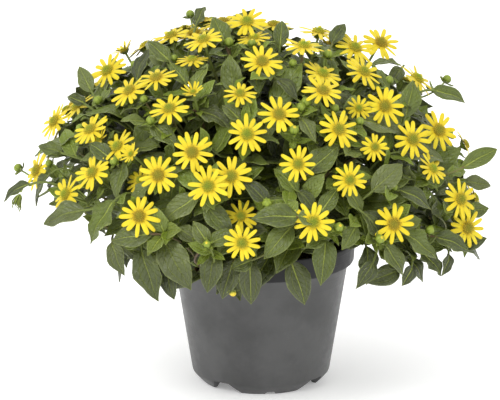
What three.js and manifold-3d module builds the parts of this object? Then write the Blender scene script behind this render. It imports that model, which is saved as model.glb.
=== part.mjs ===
// A potted creeping zinnia: a trade grow pot full of soil, with a mound of
// flowering shoots that each stand in a hole of their own in the soil.
// Millimetres, +Z up. The origin is on the pot's axis, on the face it stands on,
// and the front of the plant looks along -Y.
import * as THREE from "three";
import { mergeVertices } from "three/addons/utils/BufferGeometryUtils.js";
import Module from "manifold-3d";

const wasm = await Module();
wasm.setup();

// Driving dimensions
const rimRadius = 60;
const potHeight = 93;
const collarHeight = 14.2;
const wallTopRadius = 55.3;
const wallBottomRadius = 43.8;
const wallThickness = 1.3;
const footRadius = 37;
const footWidth = 3;
const footHeight = 7.2;
const padRadius = 14;
const soilHeight = 85;
const soilMound = 2;
const seatGap = 0.3;
const potSides = 30;

const shootCount = 30;
const stemRadius = 1.5;
const stemShares = [0, 0.15, 0.42, 0.72, 1];
const stemDepth = 9;
const holeRadius = 3;
const soilSpread = 45;
const crownRadius = 100;
const lowestShoot = 0.04;

const dome = { x: -6, y: 0, z: 89, radius: 150 };
const headRadius = 13;
const petalCount = 8;
const stalkRadius = 0.8;
const leafLength = 42;
const leafWidth = 20;

// Where the photograph was taken from. A step is one point of its 500 by 400
// frame at the pot's distance, and the middle is what the lens looks at.
const sight = {
  elevation: THREE.MathUtils.degToRad(14.4),
  distance: 3000,
  step: 0.634,
  middleX: -7,
  middleZ: 117.4,
};
const frameAcross = 500;
const frameDown = 400;

// Heads as the photograph shows them: places across and down its frame. Lift is
// how far a head stands out of the mound, size its share of a full head, and
// turned how far it has turned from facing outward to facing the lens, or where
// it is below nought, to facing straight up.
const frontHeads = [
  { across: 107, down: 70, turned: 0.35 },
  { across: 129, down: 90 },
  { across: 156, down: 77, turned: -0.35 },
  { across: 169, down: 108 },
  { across: 77, down: 106, lift: -5 },
  { across: 54, down: 121, turned: 0.25 },
  { across: 90, down: 129 },
  { across: 117, down: 146, lift: -6 },
  { across: 171, down: 35 },
  { across: 203, down: 39, lift: 5 },
  { across: 194, down: 32, lift: -2 },
  { across: 223, down: 21 },
  { across: 247, down: 21, turned: 0.35 },
  { across: 274, down: 24, turned: -0.4 },
  { across: 254, down: 37, lift: -4, size: 0.85 },
  { across: 192, down: 59, size: 0.85, turned: -0.6 },
  { across: 262, down: 61, turned: 0.3 },
  { across: 319, down: 31, turned: -0.4 },
  { across: 304, down: 45, lift: 4, turned: -0.5 },
  { across: 323, down: 73, lift: -7 },
  { across: 323, down: 90, lift: 5 },
  { across: 240, down: 93, size: 0.85 },
  { across: 279, down: 114, turned: 0.25 },
  { across: 247, down: 134, turned: 0.3 },
  { across: 339, down: 129, turned: 0.2 },
  { across: 355, down: 47, turned: 0.3 },
  { across: 381, down: 42, turned: 0.5 },
  { across: 364, down: 71, turned: 0.2 },
  { across: 418, down: 78, turned: 0.2 },
  { across: 359, down: 108, size: 0.65, lift: -6, turned: 0.6 },
  { across: 385, down: 106, turned: 0.7 },
  { across: 439, down: 130, turned: 0.6 },
  { across: 413, down: 139, turned: 0.6 },
  { across: 36, down: 170, turned: 0.2 },
  { across: 65, down: 194 },
  { across: 92, down: 172 },
  { across: 139, down: 216, turned: 0.8 },
  { across: 158, down: 175, turned: 0.6 },
  { across: 192, down: 152, turned: 0.4 },
  { across: 208, down: 186, lift: 5, turned: 0.5 },
  { across: 231, down: 176, lift: -3, turned: 0.6 },
  { across: 298, down: 164, size: 0.88, turned: 0.6 },
  { across: 242, down: 243, size: 0.9, turned: 0.4 },
  { across: 313, down: 222, turned: 0.5 },
  { across: 241, down: 216, lift: -18, size: 0.8 },
  { across: 375, down: 147, size: 0.7, turned: 0.6 },
  { across: 350, down: 180, size: 0.85, turned: 0.6 },
  { across: 433, down: 168, size: 0.85 },
  { across: 461, down: 199, lift: 4, turned: 0.4 },
  { across: 468, down: 228, lift: 4, turned: 0.5 },
  { across: 394, down: 224, turned: 0.9 },
  { across: 466, down: 144, size: 0.8 },
  { across: 124, down: 50, size: 0.6 },
  { across: 99, down: 139, size: 0.6, lift: 3 },
  { across: 193, down: 92, size: 0.55 },
  { across: 131, down: 154, size: 0.55 },
  { across: 66, down: 109, size: 0.8, lift: -4 },
  { across: 140, down: 180, size: 0.8, lift: -14 },
];

// Leaves that draw the mound's edge or hang over the pot, from base to tip.
// Turned is how far a leaf faces the lens as well.
const frontLeaves = [
  { fromAcross: 216, fromDown: 250, toAcross: 207, toDown: 293, lift: -24 },
  { fromAcross: 250, fromDown: 262, toAcross: 251, toDown: 305, lift: -30 },
  { fromAcross: 291, fromDown: 262, toAcross: 305, toDown: 305, lift: -30 },
  { fromAcross: 325, fromDown: 240, toAcross: 321, toDown: 286, lift: -20 },
  { fromAcross: 164, fromDown: 240, toAcross: 191, toDown: 290, lift: -12 },
  { fromAcross: 165, fromDown: 262, toAcross: 174, toDown: 300, lift: -26 },
  { fromAcross: 112, fromDown: 242, toAcross: 124, toDown: 276, lift: -14 },
  { fromAcross: 142, fromDown: 250, toAcross: 158, toDown: 302, lift: -18 },
  { fromAcross: 30, fromDown: 184, toAcross: 3, toDown: 201, lift: 8 },
  { fromAcross: 51, fromDown: 173, toAcross: 34, toDown: 206, lift: -2 },
  { fromAcross: 85, fromDown: 210, toAcross: 43, toDown: 224, lift: 0 },
  { fromAcross: 114, fromDown: 201, toAcross: 90, toDown: 244, lift: -6 },
  { fromAcross: 462, fromDown: 168, toAcross: 498, toDown: 148, lift: 8, turned: -0.1 },
  { fromAcross: 464, fromDown: 182, toAcross: 491, toDown: 186, lift: -2, turned: 0.7 },
  { fromAcross: 464, fromDown: 213, toAcross: 489, toDown: 208, lift: -4, turned: 0.5 },
  { fromAcross: 458, fromDown: 246, toAcross: 487, toDown: 238, lift: -6 },
  { fromAcross: 435, fromDown: 237, toAcross: 470, toDown: 251, lift: -6 },
  { fromAcross: 399, fromDown: 190, toAcross: 432, toDown: 209, lift: -4 },
  { fromAcross: 384, fromDown: 244, toAcross: 403, toDown: 275, lift: -10 },
  { fromAcross: 366, fromDown: 246, toAcross: 367, toDown: 285, lift: -24 },
  { fromAcross: 420, fromDown: 250, toAcross: 442, toDown: 276, lift: -14 },
  { fromAcross: 408, fromDown: 258, toAcross: 424, toDown: 282, lift: -26 },
  { fromAcross: 196, fromDown: 26, toAcross: 205, toDown: 6, lift: 2 },
  { fromAcross: 280, fromDown: 47, toAcross: 282, toDown: 20, lift: -10 },
  { fromAcross: 433, fromDown: 90, toAcross: 466, toDown: 102, lift: 4, turned: 0.9 },
  { fromAcross: 170, fromDown: 62, toAcross: 147, toDown: 41, lift: -2 },
  { fromAcross: 92, fromDown: 92, toAcross: 79, toDown: 66, lift: 0 },
  { fromAcross: 405, fromDown: 117, toAcross: 413, toDown: 80, lift: -8 },
  { fromAcross: 332, fromDown: 44, toAcross: 345, toDown: 23, lift: -4 },
];

// A draw between 0 and 1 that depends only on its keys.
function draw(...keys) {
  let state = 2166136261;
  for (const key of keys) {
    state = Math.imul(state ^ key, 16777619);
    state ^= state >>> 13;
    state = Math.imul(state, 1540483477);
    state ^= state >>> 15;
  }
  return (state >>> 0) / 4294967296;
}

const between = (low, high, share) => low + (high - low) * share;
const vector = (x, y, z) => new THREE.Vector3(x, y, z);
const up = vector(0, 0, 1);
const domeCentre = vector(dome.x, dome.y, dome.z);

const sightForward = vector(0, Math.cos(sight.elevation), -Math.sin(sight.elevation));
const sightOverhead = vector(0, Math.sin(sight.elevation), Math.cos(sight.elevation));
const eye = vector(sight.middleX, 0, sight.middleZ).addScaledVector(
  sightForward,
  -sight.distance,
);

// A line of sight through a place in the frame, one millimetre deep per unit.
function sightLine(across, down) {
  const perStep = sight.step / sight.distance;
  const ray = sightForward.clone();
  ray.x += (across - frameAcross / 2) * perStep;
  return ray.addScaledVector(sightOverhead, (frameDown / 2 - down) * perStep);
}

const depthOf = (point) => point.clone().sub(eye).dot(sightForward);
const atDepth = (across, down, depth) =>
  eye.clone().addScaledVector(sightLine(across, down), depth);

// The point where a line of sight meets the mound, raised by lift, or where it
// passes nearest to it. Further takes the point away from the lens.
function onDome(across, down, lift = 0, further = 0) {
  const ray = sightLine(across, down).normalize();
  const nearest = domeCentre.clone().sub(eye).dot(ray);
  const missedBy = eye.clone().addScaledVector(ray, nearest).distanceTo(domeCentre);
  const radius = dome.radius + lift;
  const inside = Math.sqrt(Math.max(0, radius ** 2 - missedBy ** 2));
  return eye.clone().addScaledVector(ray, nearest - inside + further);
}

// A leaf from base to tip that lies no more than a little along the sight.
const mostForeshortening = 0.35;

function leafEnds({ fromAcross, fromDown, toAcross, toDown, lift }, further) {
  const base = onDome(fromAcross, fromDown, lift, further);
  const seen = Math.hypot(toAcross - fromAcross, toDown - fromDown) * sight.step;
  const change = depthOf(onDome(toAcross, toDown, lift, further)) - depthOf(base);
  const most = mostForeshortening * seen;
  const depth = depthOf(base) + Math.min(most, Math.max(-most, change));
  return [base, atDepth(toAcross, toDown, depth)];
}

// Solids from points and faces, and meshes from solids
function solidOf(points, faces) {
  const vertProperties = new Float32Array(points.flatMap((p) => [p.x, p.y, p.z]));
  const build = (triangles) => {
    const triVerts = new Uint32Array(triangles.flat());
    return new wasm.Manifold(new wasm.Mesh({ numProp: 3, vertProperties, triVerts }));
  };
  const solid = build(faces);
  return solid.volume() > 0 ? solid : build(faces.map(([a, b, c]) => [a, c, b]));
}

function solidOfGeometry(geometry) {
  const bare = geometry.clone();
  bare.deleteAttribute("normal");
  bare.deleteAttribute("uv");
  const merged = mergeVertices(bare);
  const place = merged.attributes.position;
  const points = [];
  for (let i = 0; i < place.count; i += 1) {
    points.push(new THREE.Vector3().fromBufferAttribute(place, i));
  }
  const faces = [];
  for (let i = 0; i < merged.index.count; i += 3) {
    faces.push([0, 1, 2].map((k) => merged.index.getX(i + k)));
  }
  return solidOf(points, faces);
}

function meshOf(solid, name, material) {
  const { numProp, vertProperties, triVerts } = solid.getMesh();
  const geometry = new THREE.BufferGeometry();
  const positions = new Float32Array((vertProperties.length / numProp) * 3);
  for (let i = 0; i < positions.length / 3; i += 1) {
    positions.set(vertProperties.subarray(i * numProp, i * numProp + 3), i * 3);
  }
  geometry.setAttribute("position", new THREE.BufferAttribute(positions, 3));
  geometry.setIndex(new THREE.BufferAttribute(triVerts, 1));
  geometry.computeVertexNormals();
  const mesh = new THREE.Mesh(geometry, material);
  mesh.name = name;
  return mesh;
}

// Materials
const potPlastic = new THREE.MeshStandardMaterial({ color: 0x4b4b4d, roughness: 0.6, metalness: 0 });
const pottingSoil = new THREE.MeshStandardMaterial({ color: 0x35271d, roughness: 1, metalness: 0 });
const shootGreen = new THREE.MeshStandardMaterial({ color: 0x5f7d3c, roughness: 0.8, metalness: 0 });

// Pot
const collarFoot = potHeight - collarHeight;
const wallFootHeight = 7.6;

function innerWallRadius(height) {
  const share = (height - wallFootHeight) / (collarFoot - wallFootHeight);
  return between(wallBottomRadius, wallTopRadius, share) - wallThickness;
}

const floorRecess = 0.4;
const collarWidth = 2.6;
const floorUnderside = footHeight - floorRecess;
const floorTop = floorUnderside + wallThickness;
const collarInnerRadius = rimRadius - collarWidth;
const padDraft = 1;
const wallTopDrop = 0.8;
const collarFootInset = 1.6;
const collarChamfer = { inset: 0.9, rise: 1.2 };
const lipChamfer = { drop: 1, outer: 0.5, inner: 0.8 };
const collarTaper = { inset: 0.7, rise: 1.5 };
const shoulderDrop = 1.2;

function potShell() {
  const outline = [
    [0, 0],
    [padRadius, 0],
    [padRadius + padDraft, floorUnderside],
    [footRadius - footWidth - padDraft, floorUnderside],
    [footRadius - footWidth, 0],
    [footRadius, 0],
    [wallBottomRadius, wallFootHeight],
    [wallTopRadius, collarFoot - wallTopDrop],
    [rimRadius - collarFootInset, collarFoot],
    [rimRadius - collarChamfer.inset, collarFoot + collarChamfer.rise],
    [rimRadius, potHeight - lipChamfer.drop],
    [rimRadius - lipChamfer.outer, potHeight],
    [collarInnerRadius + lipChamfer.inner, potHeight],
    [collarInnerRadius, potHeight - lipChamfer.drop],
    [collarInnerRadius - collarTaper.inset, collarFoot + collarTaper.rise],
    [innerWallRadius(collarFoot), collarFoot - shoulderDrop],
    [innerWallRadius(floorTop), floorTop],
    [0, floorTop],
  ];
  const profile = outline.map(([radius, height]) => new THREE.Vector2(radius, height));
  const lathe = new THREE.LatheGeometry(profile, potSides);
  return solidOfGeometry(lathe.rotateX(Math.PI / 2));
}

// A wedge that opens a gap with sloped ends between two feet.
function footNotch(angle, { bottomWidth, topWidth, height }) {
  const outline = new THREE.Shape([
    new THREE.Vector2(-bottomWidth / 2, -1),
    new THREE.Vector2(bottomWidth / 2, -1),
    new THREE.Vector2(topWidth / 2, height),
    new THREE.Vector2(-topWidth / 2, height),
  ]);
  const length = wallBottomRadius - footRadius + footWidth + 5;
  const wedge = new THREE.ExtrudeGeometry(outline, { depth: length, bevelEnabled: false });
  wedge.rotateX(Math.PI / 2);
  wedge.translate(0, wallBottomRadius + 2, 0);
  wedge.rotateZ(angle);
  return solidOfGeometry(wedge);
}

const drainHoleRadius = 3.5;
const drainHoleInset = 8;

function drainHole(angle) {
  const drill = new THREE.CylinderGeometry(drainHoleRadius, drainHoleRadius, floorTop + 4, 10);
  drill.rotateX(Math.PI / 2);
  drill.translate(0, footRadius - footWidth - drainHoleInset, floorTop / 2);
  drill.rotateZ(angle);
  return solidOfGeometry(drill);
}

const footTurn = THREE.MathUtils.degToRad(189);
const footCount = 4;
const footStep = (2 * Math.PI) / footCount;
const footGap = { bottomWidth: 23, topWidth: 12 };
const footDent = { bottomWidth: 8.4, topWidth: 4.4, height: 1.9 };

function potSolid() {
  let solid = potShell();
  for (let i = 0; i < footCount; i += 1) {
    const footAngle = footTurn + i * footStep;
    const gapAngle = footAngle + footStep / 2;
    solid = solid.subtract(footNotch(gapAngle, { ...footGap, height: footHeight }));
    solid = solid.subtract(footNotch(footAngle, footDent));
    solid = solid.subtract(drainHole(gapAngle));
  }
  return solid;
}

// Shoots start in the soil and fan out to even shares of the mound.
function shootDirection(index) {
  const height = between(1, lowestShoot, (index + 0.5) / shootCount);
  const turn = index * Math.PI * (3 - Math.sqrt(5));
  const level = Math.sqrt(1 - height * height);
  return vector(level * Math.cos(turn), level * Math.sin(turn), height);
}

const stemRise = 30;
const stemSpread = 38;

function shootPlan(index) {
  const direction = shootDirection(index);
  const level = vector(direction.x, direction.y, 0).normalize();
  const spread = soilSpread * Math.sqrt(1 - direction.z);
  const hole = level.clone().multiplyScalar(spread).setZ(soilTop(spread));
  const foot = hole.clone().setZ(hole.z - stemDepth);
  const crown = domeCentre.clone().addScaledVector(direction, crownRadius);
  const path = new THREE.CubicBezierCurve3(
    foot,
    hole.clone().addScaledVector(up, stemRise),
    crown.clone().addScaledVector(direction, -stemSpread),
    crown,
  );
  const stem = {
    path,
    across: up.clone().cross(level),
    turn: draw(104, index) * Math.PI,
    shares: stemShares,
    radius: stemRadius,
    pairs: [],
  };
  return { index, direction, hole, stem, heads: [], edgeLeaves: [] };
}

function soilTop(radius) {
  return soilHeight + soilMound * (1 - (radius / innerWallRadius(collarFoot)) ** 2);
}

// A leaf's cross-section: left edge, top of the midrib, right edge, underside.
const leafHalfThickness = 0.6;
const leafFold = 0.22;

function crossSection(centre, along, sideHint, halfWidth, grow) {
  const side = sideHint.clone().addScaledVector(along, -sideHint.dot(along)).normalize();
  const normal = side.clone().cross(along).normalize();
  const edge = (sign) =>
    centre
      .clone()
      .addScaledVector(side, sign * (halfWidth + grow))
      .addScaledVector(normal, halfWidth * leafFold);
  const rib = (sign) =>
    centre.clone().addScaledVector(normal, sign * (leafHalfThickness + grow));
  return [edge(-1), rib(1), edge(1), rib(-1)];
}

function leafRing(leaf, share, halfWidth, grow = 0) {
  const along = leaf.curve.getTangent(share);
  const side = along.clone().cross(leaf.facing);
  return crossSection(leaf.curve.getPoint(share), along, side, halfWidth, grow);
}

function leafPlan(base, tip, facing, width, bow) {
  const middle = base.clone().lerp(tip, 0.5).addScaledVector(facing, 2 * bow);
  return { curve: new THREE.QuadraticBezierCurve3(base, middle, tip), facing, width, tip };
}

const leafStations = [
  { share: 0.7, width: 0.8 },
  { share: 0.32, width: 0.95 },
];

function bladeRings(leaf, grow) {
  return leafStations.map(({ share, width }) =>
    leafRing(leaf, share, (leaf.width * width) / 2, grow),
  );
}

function skinOf(rings, startTip, endTip) {
  const points = rings.flat();
  const faces = [];
  for (let i = 0; i + 1 < rings.length; i += 1) {
    faces.push(...alikeFaces(4 * i, 4 * i + 4));
  }
  const capAt = (first, tip, order) => {
    if (tip) {
      points.push(tip);
      const apex = points.length - 1;
      for (let k = 0; k < 4; k += 1) {
        faces.push(order([apex, first + k, first + ((k + 1) % 4)]));
      }
      return;
    }
    faces.push(order([first, first + 1, first + 3]), order([first + 1, first + 2, first + 3]));
  };
  capAt(0, startTip, (face) => face);
  capAt(4 * (rings.length - 1), endTip, ([a, b, c]) => [a, c, b]);
  return solidOf(points, faces);
}

// Both faces of a blade are split from its edges to its midrib.
function alikeFaces(first, second) {
  const faces = [];
  for (let k = 0; k < 4; k += 1) {
    const next = (k + 1) % 4;
    const edgeFirst = k % 2 === 0;
    const corners = [first + k, second + k, second + next, first + next];
    const [a, b, c, d] = corners;
    faces.push(...(edgeFirst ? [[a, b, c], [a, c, d]] : [[a, b, d], [b, c, d]]));
  }
  return faces;
}

const petioleHalfWidth = 1.1;
const petioleBend = 0.35;
const rootHalfWidth = 0.5;

function singleLeafSolid(leaf, root, grow = 0) {
  const [far, near] = bladeRings(leaf, grow);
  const neck = leafRing(leaf, 0, petioleHalfWidth, grow);
  const base = leaf.curve.v0;
  const blade = leaf.curve.getTangent(0);
  const bend = base.clone().addScaledVector(blade, -petioleBend * base.distanceTo(root));
  const leaving = bend.sub(root).normalize();
  const side = blade.cross(leaf.facing);
  const foot = crossSection(root, leaving, side, rootHalfWidth, 0);
  return skinOf([foot, neck, near, far], null, leaf.tip);
}

// A branch is four-sided, so that opposite leaves grow out of opposite sides of
// a short joint and the next pair can stand across them.
const jointHeight = 1.6;
const jointSwelling = 1.25;

function branchFrame(branch, share) {
  const along = branch.path.getTangent(share);
  const v = branch.across.clone().addScaledVector(along, -branch.across.dot(along)).normalize();
  return { along, v, u: v.clone().cross(along), centre: branch.path.getPoint(share) };
}

function sideHeading(frame, branch, side) {
  const angle = branch.turn + (side + 1) * (Math.PI / 2);
  const heading = frame.u.clone().multiplyScalar(Math.cos(angle));
  return heading.addScaledVector(frame.v, Math.sin(angle));
}

function ringOfPoints(frame, rise, radius, count, startAngle) {
  return Array.from({ length: count }, (_, k) => {
    const angle = startAngle + (k * 2 * Math.PI) / count;
    const point = frame.centre.clone().addScaledVector(frame.along, rise);
    point.addScaledVector(frame.u, radius * Math.cos(angle));
    return point.addScaledVector(frame.v, radius * Math.sin(angle));
  });
}

const flipped = ([a, b, c]) => [a, c, b];

// Joins two rings of four, leaving out the sides that leaves grow from.
function wallFaces(first, second, openSides = []) {
  const faces = [];
  for (let k = 0; k < 4; k += 1) {
    if (openSides.includes(k)) continue;
    const next = (k + 1) % 4;
    faces.push([first + k, first + next, second + next], [first + k, second + next, second + k]);
  }
  return faces;
}

function addLeaf(points, faces, lower, upper, side, leaf, grow) {
  const next = (side + 1) % 4;
  const root = [lower + next, upper + next, upper + side, lower + side];
  const [far, near] = bladeRings(leaf, grow);
  const first = points.length;
  points.push(...root.map((index) => points[index]), ...near, ...far, leaf.tip);
  const bare = [
    ...alikeFaces(first, first + 4),
    ...alikeFaces(first + 4, first + 8),
    ...[0, 1, 2, 3].map((k) => [first + 12, first + 8 + ((k + 1) % 4), first + 8 + k]),
  ];
  const shared = (index) => (index < first + 4 ? root[index - first] : index);
  faces.push(...bare.map((face) => flipped(face.map(shared))));
}

function branchSkin(branch, grow = 0) {
  const points = [];
  const faces = [];
  const start = branch.turn + Math.PI / 4;
  const addRing = (share, rise, radius) => {
    points.push(...ringOfPoints(branchFrame(branch, share), rise, radius, 4, start));
    return points.length - 4;
  };
  let last = addRing(0, 0, branch.rootRadius ?? branch.radius);
  faces.push([last, last + 2, last + 1], [last, last + 3, last + 2]);
  for (const share of branch.shares.slice(1)) {
    const pair = branch.pairs.find((one) => one.share === share);
    const swelling = pair ? jointSwelling : 1;
    const rise = pair ? jointHeight / 2 : 0;
    const lower = addRing(share, -rise, branch.radius * swelling + grow);
    faces.push(...wallFaces(last, lower));
    last = lower;
    if (!pair) continue;
    const upper = addRing(share, rise, branch.radius * swelling + grow);
    faces.push(...wallFaces(lower, upper, pair.leaves.map((leaf) => leaf.side)));
    for (const leaf of pair.leaves) addLeaf(points, faces, lower, upper, leaf.side, leaf, grow);
    last = upper;
  }
  return { points, faces, last };
}

function stemSolid(stem, grow = 0) {
  const { points, faces, last } = branchSkin(stem, grow);
  faces.push([last, last + 1, last + 2], [last, last + 2, last + 3]);
  return solidOf(points, faces);
}

// A head on its stalk: a cone of bracts, pointed petals joined to half their
// length, and a domed disc.
const stalkPairShare = 0.5;
const petalJoin = 0.46;
const petalDrop = 1.1;
const petalRise = 0.6;
const discRise = 3;
const bractDepth = 5;
const stalkStart = 0.4;
const stalkEnd = 0.35;
const stalkRootRadius = 0.55;

function headPlan(centre, facing, size, root, leaving, turn) {
  const away = leaving.clone().normalize();
  const reach = centre.distanceTo(root);
  const path = new THREE.CubicBezierCurve3(
    root,
    root.clone().addScaledVector(away, reach * stalkStart),
    centre.clone().addScaledVector(facing, -reach * stalkEnd),
    centre.clone().addScaledVector(facing, -bractDepth * size),
  );
  let across = away.clone().cross(facing);
  if (across.length() < 0.05) across = vector(1, 0.3, 0).cross(facing);
  return {
    centre,
    facing,
    size,
    path,
    across: across.normalize(),
    turn,
    shares: [0, stalkPairShare, 1],
    radius: stalkRadius,
    rootRadius: stalkRootRadius,
    pairs: [],
  };
}

function headSolid(head, grow = 0) {
  const { points, faces, last: neck } = branchSkin(head, grow);
  const frame = { ...branchFrame(head, 1), centre: head.centre };
  const radius = headRadius * head.size + grow;
  const half = Math.PI / petalCount;
  const addRing = (rise, ringRadius, angle) => {
    const ring = ringOfPoints(frame, rise * head.size, ringRadius, petalCount, head.turn + angle);
    points.push(...ring);
    return points.length - petalCount;
  };
  const lower = addRing(-petalDrop, radius * petalJoin, 0);
  const upper = addRing(0, radius * petalJoin, 0);
  const tips = addRing(petalRise, radius, half);
  points.push(head.centre.clone().addScaledVector(frame.along, discRise * head.size));
  const apex = points.length - 1;
  const corner = (k) => (Math.floor((k * 4) / petalCount) + 3) % 4;
  for (let k = 0; k < petalCount; k += 1) {
    const next = (k + 1) % petalCount;
    const here = neck + corner(k);
    const there = neck + corner(next);
    faces.push([lower + k, here, lower + next]);
    if (here !== there) faces.push([lower + next, here, there]);
    faces.push([lower + k, lower + next, tips + k], [upper + k, tips + k, upper + next]);
    faces.push([upper + k, lower + k, tips + k], [upper + next, tips + k, lower + next]);
    faces.push([upper + k, upper + next, apex]);
  }
  return solidOf(points, faces);
}

// Placing: a part is offered in a few places and takes the first that is clear
// of every other shoot, of the pot and of the soil.
const clearance = 0.35;
const placed = [];

function keep(owner, solid) {
  const part = { owner, solid, box: solid.boundingBox() };
  placed.push(part);
  return part;
}

function boxesMeet(a, b) {
  return [0, 1, 2].every((axis) => a.min[axis] <= b.max[axis] && b.min[axis] <= a.max[axis]);
}

// Parts of one shoot may meet close to where they leave its stem.
const rootReach = 6;

function staysByRoot(common, root) {
  const box = common.boundingBox();
  return [root.x, root.y, root.z].every(
    (place, axis) => box.min[axis] > place - rootReach && box.max[axis] < place + rootReach,
  );
}

function isClear(shoot, carrier, root, solid) {
  const box = solid.boundingBox();
  const near = placed.filter((other) => other !== carrier && boxesMeet(box, other.box));
  return near.every((other) => {
    const common = solid.intersect(other.solid);
    return common.isEmpty() || (other.owner === shoot && staysByRoot(common, root));
  });
}

// Each try has a root, a function that makes its solid and whether it fits.
function placeFirstClear(shoot, carrier, tries) {
  const clear = ({ root, make, fits = true }) =>
    fits && isClear(shoot, carrier, root, make(clearance));
  const index = tries.findIndex(clear);
  if (index >= 0) keep(shoot, tries[index].make(0));
  return index;
}

// A place to grow from, inside the straight run below one of the stem's rings.
// Lower is how much further down the run it is.
function stemRoot(shoot, step, lower = 0) {
  const { path, shares } = shoot.stem;
  const from = path.getPoint(shares[step - 1]);
  const to = path.getPoint(shares[step]);
  const reach = step === shares.length - 1 ? 0.8 : 0.5;
  return from.lerp(to, reach - lower);
}

const outwardAt = (point) => point.clone().sub(domeCentre).normalize();
const depthTries = [0, 4, -4, 8, -8, 12, -12, 16, -16, 20];

function nearestShoot(point) {
  const outward = outwardAt(point);
  const byAngle = (a, b) => b.direction.dot(outward) - a.direction.dot(outward);
  return [...shoots].sort(byAngle)[0];
}

// Heads
const mostRaised = 0.3;
const mostSideways = 0.15;

function facingAt(centre, turned, keys) {
  const facing = outwardAt(centre);
  if (turned < 0) {
    return facing.multiplyScalar(1 + turned).addScaledVector(up, -turned).normalize();
  }
  if (turned > 0) {
    return facing.multiplyScalar(1 - turned).addScaledVector(sightForward, -turned).normalize();
  }
  facing.z += between(0, mostRaised, draw(...keys, 1));
  facing.x += between(-mostSideways, mostSideways, draw(...keys, 2));
  return facing.normalize();
}

function headAt(shoot, centre, { size = 1, turned = 0 }, keys, attempt) {
  const facing = facingAt(centre, turned, keys);
  const last = shoot.stem.shares.length - 1;
  const step = last - ((Math.floor(3 * draw(...keys, 3)) + attempt) % 3);
  const leaving = shoot.stem.path.getTangent(shoot.stem.shares[step]);
  const turn = draw(...keys, 4) * Math.PI;
  return headPlan(centre, facing, size, stemRoot(shoot, step), leaving, turn);
}

function placeHead(shoot, form, keys, centres, fits) {
  const plans = centres.map((centre, attempt) => headAt(shoot, centre, form, keys, attempt));
  const tries = plans.map((plan) => ({
    root: plan.path.v0,
    make: (grow) => headSolid(plan, grow),
    fits: fits?.(plan.centre),
  }));
  const index = placeFirstClear(shoot, shoot.part, tries);
  if (index >= 0) shoot.heads.push({ ...plans[index], keys, part: placed.at(-1) });
  return index >= 0;
}

function placeFrontHeads() {
  frontHeads.forEach((row, index) => {
    const lift = row.lift ?? 0;
    const centres = depthTries.map((depth) => onDome(row.across, row.down, lift, depth));
    placeHead(nearestShoot(centres[0]), row, [101, index], centres);
  });
}

// A place is out of the photograph's sight when the mound turns away from it.
const hiddenFrom = 0.08;

// A head at the back stays this far below the mound's edge as the lens sees it.
const belowEdge = 5;

function isBelowEdge(point) {
  const ray = point.clone().sub(eye).normalize();
  const nearest = domeCentre.clone().sub(eye).dot(ray);
  const missedBy = eye.clone().addScaledVector(ray, nearest).distanceTo(domeCentre);
  return missedBy < dome.radius - belowEdge;
}

// Half a turn about the mound's axis carries a place at the front to the back.
const toBack = (point) => vector(2 * dome.x - point.x, 2 * dome.y - point.y, point.z);

// Even places over the mound, from its top down to its lower edge.
function dotted(count) {
  return Array.from({ length: count }, (_, index) => {
    const height = between(1, 0.05, (index + 0.5) / count);
    const turn = index * Math.PI * (3 - Math.sqrt(5)) + 1;
    const level = Math.sqrt(1 - height * height);
    const outward = vector(level * Math.cos(turn), level * Math.sin(turn), height);
    return domeCentre.clone().addScaledVector(outward, dome.radius);
  });
}

function placeBackHeads() {
  const taken = shoots.flatMap((shoot) => shoot.heads.map((head) => head.centre));
  const offerPlaces = (places, apart, keyBase) => {
    places.forEach((place, index) => {
      if (outwardAt(place).dot(sightForward) < hiddenFrom) return;
      if (taken.some((other) => other.distanceTo(place) < apart)) return;
      const outward = outwardAt(place);
      const centres = depthTries.map((lift) => place.clone().addScaledVector(outward, lift));
      const found = placeHead(nearestShoot(place), {}, [keyBase, index], centres, isBelowEdge);
      if (found) taken.push(place);
    });
  };
  offerPlaces(taken.map(toBack), 27, 102);
  offerPlaces(dotted(60), 38, 105);
}

// Leaves that draw the edge of the mound
const edgeLeafRaised = 0.35;
const edgeLeafBow = 0.06;
const edgeLeafBreadth = 0.54;
const leastLeafWidth = 10;
const rootSpacing = 0.08;

function edgeLeaf(base, tip, turned) {
  const facing = outwardAt(base.clone().lerp(tip, 0.5));
  facing.z += edgeLeafRaised;
  facing.addScaledVector(sightForward, -turned);
  const length = base.distanceTo(tip);
  const width = Math.max(leastLeafWidth, length * edgeLeafBreadth);
  return leafPlan(base, tip, facing.normalize(), width, length * edgeLeafBow);
}

function placeEdgeLeaf(pairs, turned = 0) {
  const [base] = pairs[0];
  const shoot = nearestShoot(base);
  const lower = rootSpacing * shoot.edgeLeaves.length;
  const roots = [2, 3, 4].map((step) => stemRoot(shoot, step, lower));
  const tries = pairs.map(([from, to]) => {
    const root = roots.reduce((a, b) => (a.distanceTo(from) < b.distanceTo(from) ? a : b));
    return { root, make: (grow) => singleLeafSolid(edgeLeaf(from, to, turned), root, grow) };
  });
  const index = placeFirstClear(shoot, shoot.part, tries);
  if (index >= 0) shoot.edgeLeaves.push(placed.at(-1));
}

// A leaf turned half round is hidden from the front well inside the mound's
// outline: no further sideways, no nearer and no higher than these.
const hidden = { sideways: 105, behind: 30, top: 190 };

function isHidden({ x, y, z }) {
  return Math.abs(x - dome.x) < hidden.sideways && y > hidden.behind && z < hidden.top;
}

function placeEdgeLeaves() {
  frontLeaves.forEach((leaf) => {
    const pairs = depthTries.map((further) => leafEnds(leaf, further));
    placeEdgeLeaf(pairs, leaf.turned);
    const [base, tip] = pairs[0].map(toBack);
    if (!isHidden(tip)) return;
    const outward = outwardAt(base);
    placeEdgeLeaf(
      depthTries.map((lift) => [base, tip].map((p) => p.clone().addScaledVector(outward, lift))),
    );
  });
}

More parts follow.
